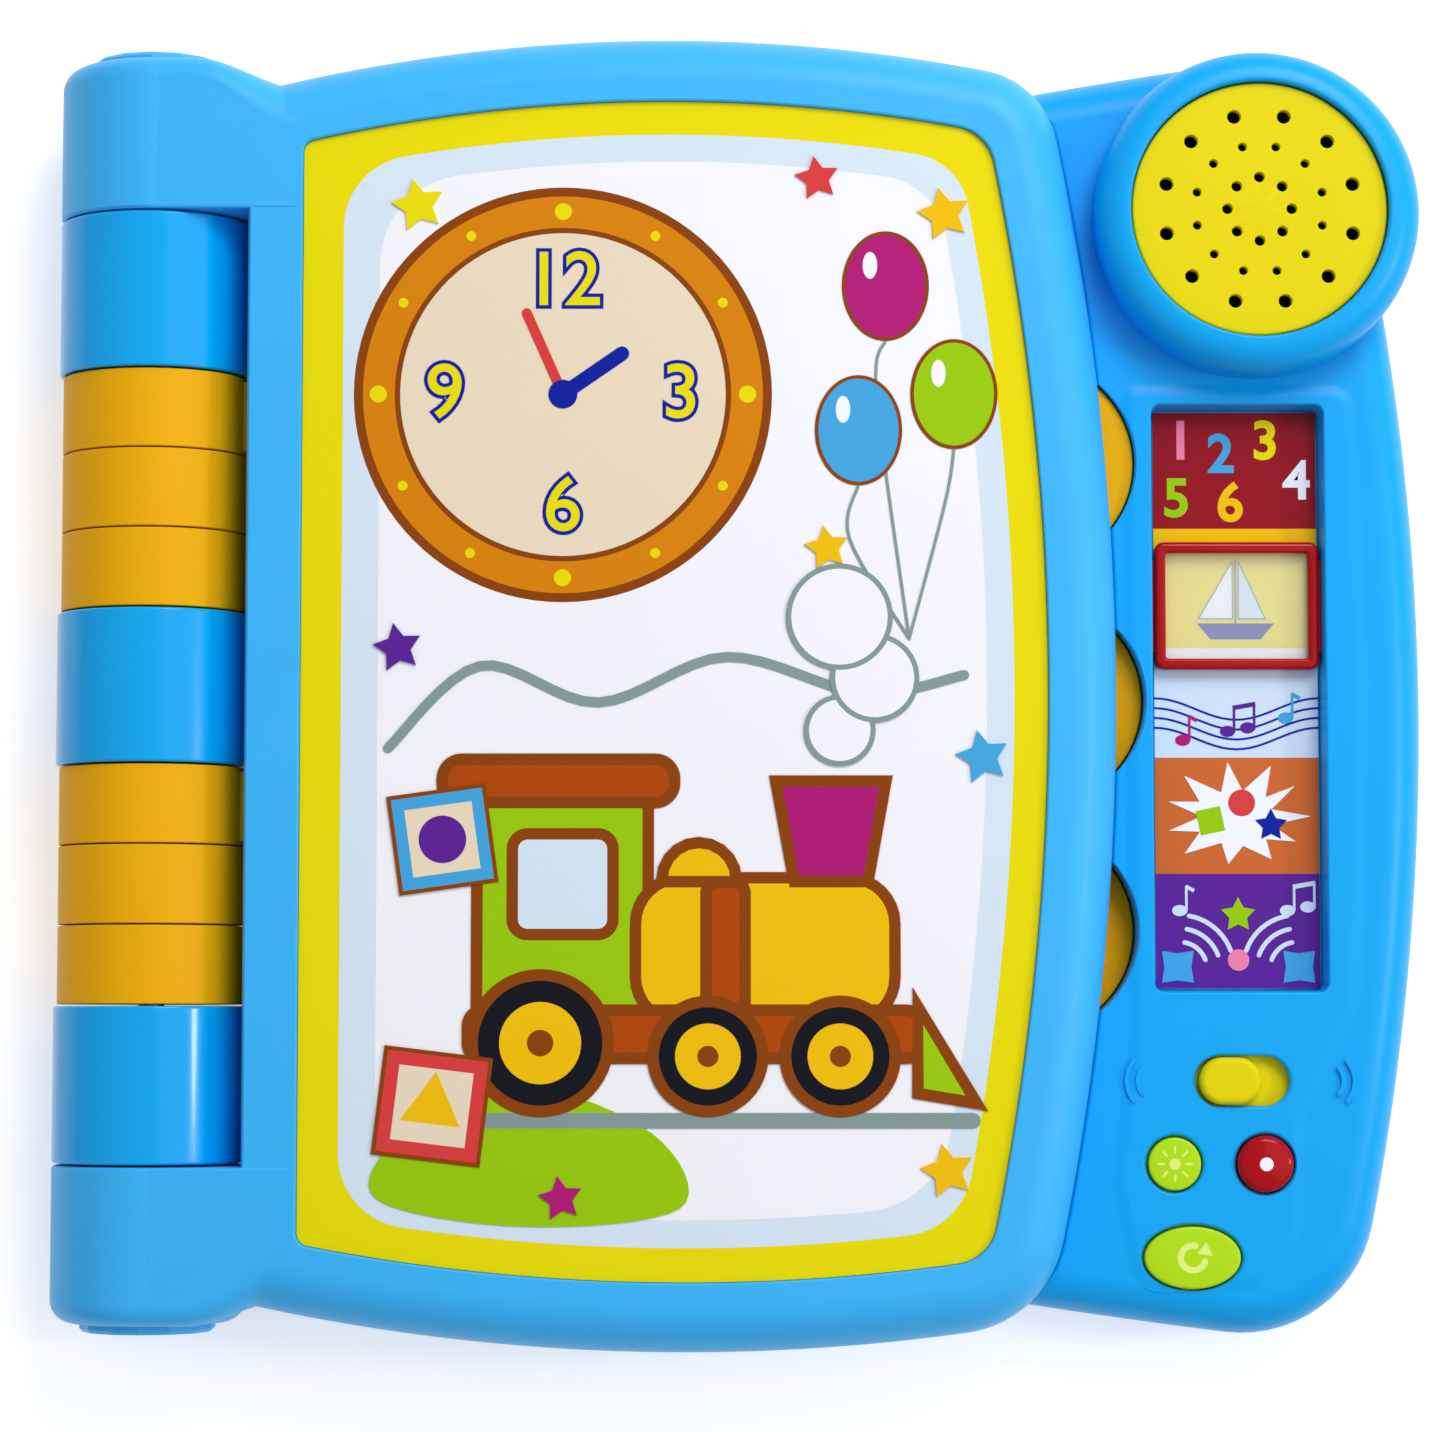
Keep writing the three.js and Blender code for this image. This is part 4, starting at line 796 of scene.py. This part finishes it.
def mode_slider():
    left, right = MODE["left"] + 0.8, MODE["right"] - 0.8
    middle, half = 18.9, 14.3
    low, high = middle - half, middle + half
    bottom, top = 22.2, 25.4
    pane_low = bottom + 0.4

    def ring(inset):
        return rounded_box(left + inset, right - inset, low + inset, high - inset, max(0.6, 2.2 - inset))

    levels = [(bottom, 0.3), (bottom + 0.3, 0.0), (top - 0.9, 0.0), (top - 0.45, 0.14),
              (top - 0.12, 0.5), (top, 0.95)]
    body = loft("slider_frame", [(z, ring(i)) for z, i in levels])
    tongue = slab("tongue", rounded_box(MODE["left"] - 0.4, MODE["right"] + 0.4, low + 4, high - 4, 0.2, 2),
                  22.9, 24.0)
    opening = [(20, 2.5), (top - 0.9, 2.5), (top - 0.3, 2.3), (top, 1.9), (top + 1, 1.9)]
    join(body, tongue)
    cut(body, loft("opening", [(z, ring(i)) for z, i in opening]),
        slab("rebate", ring(1.5), 20, pane_low + 1.35))
    dress(body, "red_plastic", "mode_slider", nodes=["mode_slider_frame"])
    pane = loft("slider_pane", [(pane_low + rise, ring(i))
                                for rise, i in ((0.0, 2.0), (0.2, 1.8), (1.0, 1.8), (1.2, 2.0))])
    dress(pane, "clear_plastic", "mode_slider", nodes=["mode_slider_pane"])


# Printed pictures: flat closed shapes, one on another

class Print:
    """Collects flat shapes in layers; each new layer lies a little over the one before."""

    STEP = 0.006
    SUB_STEP = 0.001

    def __init__(self, floor, facing=1, lift=0.0):
        self.floor = floor
        self.facing = facing
        self.lift = lift
        self.level = 1
        self.verts = []
        self.faces = []
        self.inks = []
        self.face_inks = []

    def top(self):
        return self.floor + self.facing * (self.lift + self.level * self.STEP)

    def shape(self, ink, *outlines):
        if ink not in self.inks:
            self.inks.append(ink)
        for number, outline in enumerate(outlines):
            top = self.top() + self.facing * number * self.SUB_STEP
            start = len(self.verts)
            count = len(outline)
            self.verts += [(x, y, self.floor) for x, y in outline] + [(x, y, top) for x, y in outline]
            sides = [(start + i, start + (i + 1) % count, start + count + (i + 1) % count, start + count + i)
                     for i in range(count)]
            new = sides + [tuple(range(start, start + count))[::-1],
                           tuple(range(start + count, start + 2 * count))]
            self.faces += new
            self.face_inks += [self.inks.index(ink)] * len(new)
        self.level += 1

    def number(self, ink, text, x, y, high, bold):
        """A plain number centred at (x, y), from Blender's own typeface."""
        curve = bpy.data.curves.new("number", "FONT")
        curve.body = text
        curve.size = high * 1.37
        curve.align_x = "CENTER"
        curve.align_y = "CENTER"
        curve.offset = bold
        curve.extrude = 1.0
        curve.resolution_u = 6
        obj = linked("number", curve)
        mesh = evaluated_mesh(obj)
        bpy.data.objects.remove(obj)
        if ink not in self.inks:
            self.inks.append(ink)
        start = len(self.verts)
        top = self.top()
        self.verts += [(x + v.co.x, y + v.co.y, top if v.co.z > 0 else self.floor) for v in mesh.vertices]
        self.faces += [tuple(start + i for i in face.vertices) for face in mesh.polygons]
        self.face_inks += [self.inks.index(ink)] * len(mesh.polygons)
        self.level += 1

    def finish(self, name, body, nodes=()):
        mesh = bpy.data.meshes.new(name)
        mesh.from_pydata([place(*v) for v in self.verts], [], self.faces)
        for ink in self.inks:
            mesh.materials.append(MATERIALS[ink])
        mesh.polygons.foreach_set("material_index", self.face_inks)
        work = bmesh.new()
        work.from_mesh(mesh)
        bmesh.ops.recalc_face_normals(work, faces=work.faces)
        work.to_mesh(mesh)
        work.free()
        obj = linked(name, mesh)
        if nodes:
            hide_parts(*nodes)
        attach(obj, body)
        return obj


def disc(x, y, r, steps=48):
    return ellipse(x, y, r, r, steps)


def star(x, y, r, turn=90.0, points=5, inner=0.52):
    return [(x + r * (1 if i % 2 == 0 else inner) * math.cos(math.radians(turn + 180 * i / points)),
             y + r * (1 if i % 2 == 0 else inner) * math.sin(math.radians(turn + 180 * i / points)))
            for i in range(2 * points)]


def turned_box(x, y, wide, high, turn):
    c, s = math.cos(math.radians(turn)), math.sin(math.radians(turn))
    a, b = wide / 2, high / 2
    return [(x + c * u - s * v, y + s * u + c * v) for u, v in ((-a, -b), (a, -b), (a, b), (-a, b))]


def stroke(points, width):
    """A gently curving line of even width with round ends."""
    left, right = [], []
    for i, (x, y) in enumerate(points):
        ax, ay = points[max(i - 1, 0)]
        bx, by = points[min(i + 1, len(points) - 1)]
        length = math.hypot(bx - ax, by - ay)
        nx, ny = -(by - ay) / length * width / 2, (bx - ax) / length * width / 2
        left.append((x + nx, y + ny))
        right.append((x - nx, y - ny))
    start = angle_to(points[-1], left[-1])
    end = angle_to(points[0], right[0])
    cap_end = arc(points[-1], width / 2, start, start - math.pi, 6)[1:-1]
    cap_start = arc(points[0], width / 2, end, end - math.pi, 6)[1:-1]
    return left + cap_end + right[::-1] + cap_start


def smooth(points, steps=8, closed=True):
    """A smooth curve through a few points."""
    count = len(points)
    curve = []
    spans = count if closed else count - 1
    for i in range(spans):
        if closed:
            p = [points[(i + j - 1) % count] for j in range(4)]
        else:
            p = [points[min(max(i + j - 1, 0), count - 1)] for j in range(4)]
        for k in range(steps):
            t = k / steps
            curve.append(tuple(0.5 * (2 * p[1][n] + (p[2][n] - p[0][n]) * t
                                      + (2 * p[0][n] - 5 * p[1][n] + 4 * p[2][n] - p[3][n]) * t * t
                                      + (3 * p[1][n] - p[0][n] - 3 * p[2][n] + p[3][n]) * t ** 3)
                               for n in (0, 1)))
    if not closed:
        curve.append(points[-1])
    return curve


def note(x, y, size, double=False):
    head = [ellipse(x, y, size * 0.34, size * 0.25, 20)]
    stem = [turned_box(x + size * 0.3, y + size * 0.55, size * 0.11, size * 1.1, 0)]
    if not double:
        return head + stem + [turned_box(x + size * 0.46, y + size * 0.98, size * 0.42, size * 0.16, -28)]
    far = size * 0.9
    return (head + stem + [ellipse(x + far, y + size * 0.16, size * 0.34, size * 0.25, 20)]
            + [turned_box(x + far + size * 0.3, y + size * 0.66, size * 0.11, size * 1.15, 0)]
            + [turned_box(x + far / 2 + size * 0.3, y + size * 1.14, size * 1.02, size * 0.2, 10)])


def engine(sheet, x, y, size):
    """A plain toy engine, size millimetres long, on its rail."""
    def at(points):
        return [(x + px * size, y + py * size) for px, py in points]

    def rim(ink, points, width=0.035):
        sheet.shape("ink_brown", grown(points, width * size / 2))
        sheet.shape(ink, grown(points, -width * size / 4))

    sheet.shape("ink_grey", stroke(at([(-0.6, -0.345), (0.62, -0.345)]), 0.035 * size))
    rim("ink_lime", at(rounded_box(-0.5, -0.12, -0.16, 0.4, 0.04)))
    rim("ink_sky", at(rounded_box(-0.42, -0.2, 0.08, 0.3, 0.03)))
    rim("ink_rust", at(rounded_box(-0.58, -0.06, 0.38, 0.47, 0.04)))
    rim("ink_amber", at(rounded_box(-0.14, 0.44, -0.12, 0.2, 0.1)))
    rim("ink_rust", at(rounded_box(0.02, 0.1, -0.11, 0.19, 0.02)))
    rim("ink_magenta", at([(0.22, 0.2), (0.38, 0.2), (0.42, 0.42), (0.18, 0.42)]))
    rim("ink_amber", at(arc((0.0, 0.2), 0.08, 0, math.pi, 10)))
    rim("ink_rust", at(rounded_box(-0.52, 0.5, -0.2, -0.1, 0.03)))
    rim("ink_lime", at([(0.5, -0.1), (0.5, -0.28), (0.62, -0.3)]))
    for wx, wr in ((-0.36, 0.15), (0.02, 0.12), (0.32, 0.12)):
        rim("ink_black", at(disc(wx, -0.32 + wr, wr)))
        sheet.shape("ink_amber", at(disc(wx, -0.32 + wr, wr * 0.62)))
        sheet.shape("ink_brown", at(disc(wx, -0.32 + wr, wr * 0.2)))
    for px, py, pr in ((0.32, 0.54, 0.07), (0.4, 0.66, 0.09), (0.32, 0.8, 0.11)):
        sheet.shape("ink_grey", at(disc(px, py, pr + 0.012)))
        sheet.shape("ink_white", at(disc(px, py, pr)))


def cover_print():
    sheet = Print(CROWN - WINDOW_DEPTH, lift=PRINT_THICKNESS)
    sheet.shape("ink_yellow", window_outline(0.15))
    field = arched(*book_arcs(WINDOW_INSET + 7.5), WINDOW_LEFT + 9.0, 16.0, 14.0, 16.0)
    sheet.shape("ink_sky", field)
    inner = arched(*book_arcs(WINDOW_INSET + 13.5), WINDOW_LEFT + 17.0, 20.0, 16.0, 20.0)
    sheet.shape("ink_white", inner)
    # A round dial with plain numbers
    x, y, r = 92.0, 64.0, 46.0
    sheet.shape("ink_brown", disc(x, y, r, 96))
    sheet.shape("ink_orange", disc(x, y, r - 2.0, 96))
    sheet.shape("ink_brown", disc(x, y, r - 9.0, 96))
    sheet.shape("ink_cream", disc(x, y, r - 10.2, 96))
    for hour in range(12):
        angle = math.radians(30 * hour)
        tx, ty = x + (r - 5.4) * math.cos(angle), y + (r - 5.4) * math.sin(angle)
        sheet.shape("ink_yellow", disc(tx, ty, 1.9 if hour % 3 == 0 else 1.1, 20))
    for text, dx, dy in (("12", 0, 25), ("3", 26, 0), ("6", 0, -25), ("9", -26, 0)):
        sheet.number("ink_navy", text, x + dx, y + dy, 12.5, 0.9)
        sheet.number("ink_yellow", text, x + dx, y + dy, 12.5, 0.1)
    sheet.shape("ink_navy", stroke([(x, y), (x + 13, y + 9)], 3.2))
    sheet.shape("ink_red", stroke([(x, y), (x - 8, y + 18)], 2.2))
    sheet.shape("ink_navy", disc(x, y, 3.2, 32))
    # Three balloons on strings
    for bx, by, ink in ((163, 88, "ink_magenta"), (178, 64, "ink_lime"), (157, 56, "ink_blue")):
        string = smooth([(bx, by - 12), (bx - 2, by - 24), (168, 10)], closed=False)
        sheet.shape("ink_grey", stroke(string, 0.7))
        sheet.shape("ink_brown", ellipse(bx, by, 9.6, 12.2))
        sheet.shape(ink, ellipse(bx, by, 8.8, 11.4))
        sheet.shape("ink_white", ellipse(bx - 3.4, by + 4.6, 1.6, 3.0, 24))
    # A winding line behind the engine, and the ground under it
    sheet.shape("ink_grey", stroke(smooth([(54, -14), (74, 4), (100, -4), (128, 6), (158, -2), (180, 2)],
                                          closed=False), 2.2))
    sheet.shape("ink_lime", smooth([(52, -112), (58, -98), (84, -88), (112, -98), (118, -114), (84, -118)]))
    engine(sheet, 122, -62, 96)
    # Blocks with plain shapes
    for bx, by, size, turn, ink in ((66, -34, 20, 8, "ink_blue"), (64, -92, 22, -7, "ink_red")):
        sheet.shape("ink_brown", turned_box(bx, by, size + 1.8, size + 1.8, turn))
        sheet.shape(ink, turned_box(bx, by, size, size, turn))
        sheet.shape("ink_cream", turned_box(bx, by, size * 0.74, size * 0.74, turn))
    sheet.shape("ink_purple", disc(66, -34, 5.2))
    sheet.shape("ink_amber", star(64, -92, 7.6, 83, 3, 0.5))
    stars = ((60, 106, 6, "ink_yellow"), (176, 104, 6, "ink_amber"), (148, 112, 5, "ink_red"),
             (56, 8, 5.5, "ink_purple"), (184, -16, 6, "ink_blue"), (176, -106, 6, "ink_amber"),
             (92, -112, 5, "ink_magenta"), (150, 30, 5, "ink_amber"))
    for sx, sy, size, ink in stars:
        sheet.shape(ink, star(sx, sy, size, 84 + 3 * size))
    return sheet.finish("cover_picture", "cover", nodes=["cover_print"])


def mode_print():
    sheet = Print(MODE_FLOOR + 0.5, lift=PRINT_THICKNESS)
    left, right = MODE["left"] + 0.9, MODE["right"] - 0.9
    low, high = MODE["bottom"] + 0.9, MODE["top"] - 0.9
    middle = (left + right) / 2
    bands = [(36.5, high, "ink_dark_red"), (5.1, 36.5, "ink_amber"), (-14.9, 5.1, "ink_pale"),
             (-40.8, -14.9, "ink_copper"), (low, -40.8, "ink_purple")]
    for y0, y1, ink in bands:
        sheet.shape(ink, rounded_box(left, right, y0, y1, 0.05, 1))
    digits = (("1", -12, 56, "ink_pink"), ("2", -3, 53, "ink_blue"), ("3", 7, 56, "ink_yellow"),
              ("4", 14, 47, "ink_white"), ("5", -13, 43, "ink_lime"), ("6", -1, 42, "ink_amber"))
    for text, dx, y, ink in digits:
        sheet.number(ink, text, middle + dx, y, 8.8, 0.3)
    # A sailing boat under the slider
    sheet.shape("ink_yellow", rounded_box(left, right, 9.0, 33.0, 0.05, 1))
    sheet.shape("ink_white", rounded_box(left, right, 5.6, 9.6, 0.05, 1))
    sheet.shape("ink_grey", rounded_box(middle - 0.3, middle + 0.3, 14.0, 29.5, 0.2, 2))
    for reach, ink in ((-8.0, "ink_white"), (6.4, "ink_sky")):
        foot = 16.4
        mast = middle + math.copysign(0.8, reach)
        sail = [(mast, foot), (middle + reach, foot), (mast, 28.6)][::1 if reach > 0 else -1]
        sheet.shape("ink_grey", grown(sail, 0.35))
        sheet.shape(ink, sail)
    hull = ((-8.6, 15.2), (-5.6, 11.6), (5.6, 11.6), (8.6, 15.2))
    sheet.shape("ink_navy", [(middle + dx, y) for dx, y in hull])
    # Staff lines and notes
    for i in range(4):
        wave = [(left + (right - left) * k / 24, -4 - 2.2 * i + 2.4 * math.cos(k / 24 * 2 * math.pi))
                for k in range(25)]
        sheet.shape("ink_navy", stroke(wave, 0.45))
    for dx, y, size, ink, double in ((-12, -11, 5, "ink_magenta", False), (-2, -9, 5, "ink_purple", True),
                                     (11, -6, 5, "ink_blue", False)):
        sheet.shape(ink, *note(middle + dx, y, size, double))
    # A burst with plain shapes
    y = -28.0
    burst = []
    for i in range(22):
        a, b = (16.5, 11.5) if i % 2 == 0 else (9.0, 6.2)
        turn = 2 * math.pi * i / 22
        burst.append((middle + a * (1 + 0.12 * math.sin(5 * i)) * math.cos(turn),
                      y + b * (1 + 0.1 * math.cos(3 * i)) * math.sin(turn)))
    sheet.shape("ink_white", burst)
    sheet.shape("ink_lime", turned_box(middle - 6, y - 1, 5.6, 5.6, 12))
    sheet.shape("ink_red", disc(middle + 1, y + 3, 3.0))
    sheet.shape("ink_navy", star(middle + 7.5, y - 2, 3.8))
    # Sound arcs and notes
    y = -54.0
    for side in (-1, 1):
        for k in range(3):
            radius = 6.0 + 3.0 * k
            start = math.radians(20) if side < 0 else math.radians(100)
            curve = arc((middle + side * 13, y - 8), radius, start, start + math.radians(60), 10)
            sheet.shape("ink_pale", stroke(curve, 1.0))
        sheet.shape("ink_blue", star(middle + side * 13.5, y - 7.5, 5.0, 45, 4, 0.6))
        sheet.shape("ink_pale", *note(middle + side * 12 - 1, y + 5, 5, side > 0))
    sheet.shape("ink_lime", star(middle, y + 4, 4.0))
    sheet.shape("ink_pink", disc(middle, y - 6, 2.4))
    return sheet.finish("mode_picture", "base", nodes=["mode_strip"])


def page_pictures():
    """Plain pictures on both sides of the pages, for the open book."""
    grounds = (("ink_pale", "ink_glow"), ("ink_cream", "ink_pale"), ("ink_glow", "ink_cream"))
    bow = ("ink_red", "ink_amber", "ink_lime", "ink_blue", "ink_white")
    star_inks = ("ink_red", "ink_purple", "ink_amber", "ink_blue", "ink_magenta")
    hills = [(50, -60), (80, -44), (120, -50), (160, -42), (186, -60), (120, -108)]
    for k, inks in enumerate(grounds):
        leaf = "page_%d" % (k + 1)
        for side, face, ink in zip((1, -1), ("front", "back"), inks):
            low, high = node_box("%s_card_%s" % (leaf, face))
            sheet = Print((high if side > 0 else low).z, side)
            sheet.shape(ink, book_outline(CARD_INSET + 0.6, CARD_LEFT + 0.6))
            for ring, color in enumerate(bow):
                sheet.shape(color, arc((118, -46), 62 - 9 * ring, 0, math.pi, 40))
            sheet.shape("ink_lime", smooth(hills))
            for i in range(5):
                kind = i + k
                shape = star(60 + 28 * i, 60 + 22 * (kind % 3), 7 + kind % 3, 90 + 11 * i)
                sheet.shape(star_inks[kind % 5], shape)
            sheet.finish("%s_picture_%s" % (leaf, face), leaf)


def button_marks():
    top = {name: PANEL + values[4] + 0.29 * values[5] for name, values in BUTTONS.items()}
    x, y = BUTTONS["button_green"][:2]
    mark = Print(top["button_green"] - 0.06, lift=0.08)
    rays = [turned_box(x + 3.1 * math.cos(a), y + 3.1 * math.sin(a), 1.7, 0.5, math.degrees(a))
            for a in [math.pi / 4 * i for i in range(8)]]
    mark.shape("ink_mark", disc(x, y, 1.25, 24), *rays)
    mark.finish("sun_mark", "button_green")
    x, y = BUTTONS["button_red"][:2]
    mark = Print(top["button_red"] - 0.3, lift=0.32)
    mark.shape("ink_white", disc(x, y, 1.5, 32))
    mark.finish("dot_mark", "button_red")
    x, y = BUTTONS["button_oval"][:2]
    mark = Print(top["button_oval"] - 0.06, lift=0.08)
    ring = stroke(arc((x, y), 2.7, math.radians(80), math.radians(345), 30), 1.4)
    mark.shape("ink_mark", ring)
    mark.shape("ink_mark", [(x + 0.9, y + 0.9), (x + 4.4, y + 0.4), (x + 2.9, y + 3.5)])
    mark.finish("repeat_mark", "button_oval")


def volume_marks():
    """Quiet and loud marks, raised a little from the panel."""
    mark = Print(PANEL - 0.1, lift=0.1 + ISLAND_RISE + 0.35)
    y = SLOT["y"]
    for x, facing in ((223.0, 180), (259.6, 0)):
        start, end = math.radians(facing - 40), math.radians(facing + 40)
        for radius in (4.4, 6.8):
            mark.shape("base_plastic", stroke(arc((x, y), radius, start, end, 12), 0.9))
    piece = mark.finish("volume_marks", "base")


# Kept nodes take the finish of their material slot

def dress_kept_nodes():
    slots = {row["node"]: row["material_slot"] for row in frame["record"]["subparts"]}
    for name, obj in frame["nodes"].items():
        for slot in obj.material_slots:
            slot.material = MATERIALS[slots[name]]


# Floor, light and camera

FLOOR_GLOW = 0.44


def floor():
    """A white floor that glows a little to the camera, so that only its shadows show."""
    size, level = 3.0, -0.0002
    mesh = bpy.data.meshes.new("floor")
    corners = ((-size, -size), (size, -size), (size, size), (-size, size))
    mesh.from_pydata([(x, y, level) for x, y in corners], [], [(0, 1, 2, 3)])
    obj = linked("floor", mesh)
    material = moulded("floor_white", (250, 251, 253), 0.8, grain=0.0, mottle=0.0, gleam=0.0)
    nodes = material.node_tree.nodes
    links = material.node_tree.links
    path = nodes.new("ShaderNodeLightPath")
    shader = nodes["Principled BSDF"]
    shader.inputs["Emission Color"].default_value = (1, 1, 1, 1)
    seen = path.outputs["Is Camera Ray"]
    for ray in ("Is Glossy Ray", "Is Transmission Ray"):
        either = nodes.new("ShaderNodeMath")
        either.operation = "MAXIMUM"
        links.new(seen, either.inputs[0])
        links.new(path.outputs[ray], either.inputs[1])
        seen = either.outputs["Value"]
    glow = nodes.new("ShaderNodeMath")
    glow.operation = "MULTIPLY"
    glow.inputs[1].default_value = FLOOR_GLOW
    links.new(seen, glow.inputs[0])
    links.new(glow.outputs["Value"], shader.inputs["Emission Strength"])
    mesh.materials.append(material)


def lamp(name, location, size, power):
    light = bpy.data.lights.new(name, "AREA")
    light.shape = "DISK"
    light.size = size
    light.energy = power
    obj = linked(name, light)
    obj.location = location
    obj.rotation_euler = (-Vector(location)).to_track_quat("-Z", "Y").to_euler()


def sky():
    world = bpy.data.worlds.new("studio")
    bpy.context.scene.world = world
    world.use_nodes = True
    background = world.node_tree.nodes["Background"]
    background.inputs["Color"].default_value = (1, 1, 1, 1)
    background.inputs["Strength"].default_value = 0.47


def camera():
    """A long lens nearly straight above, as in the photograph."""
    focal_pixels = 4200.0
    frame_width = 1445
    tilt = math.radians(4.2)
    data = bpy.data.cameras.new("camera")
    data.sensor_width = 36.0
    data.lens = focal_pixels / frame_width * data.sensor_width
    data.clip_start = 0.01
    data.clip_end = 20.0
    obj = linked("camera", data)
    obj.location = place(127.1, -74.27, 957.52)
    obj.rotation_euler = (tilt, 0, 0)
    bpy.context.scene.camera = obj


camera()
sky()
floor()
lamp("key", (0.4, 0.85, 1.0), 0.7, 9.4)
lamp("fill", (0.75, 0.1, 0.95), 1.3, 2.3)
lamp("streak", (1.05, -0.05, 0.7), 0.16, 2.4)
bpy.context.scene.view_settings.view_transform = "Standard"

dress_kept_nodes()
cover_frame()
for leaf_number in range(3):
    page(leaf_number)
upper_shell()
lower_shell()
base_barrels()
grille()
button("button_green", "green_plastic")
button("button_red", "red_plastic")
button("button_oval", "green_plastic")
volume_slider()
mode_slider()
cover_print()
mode_print()
page_pictures()
button_marks()
volume_marks()
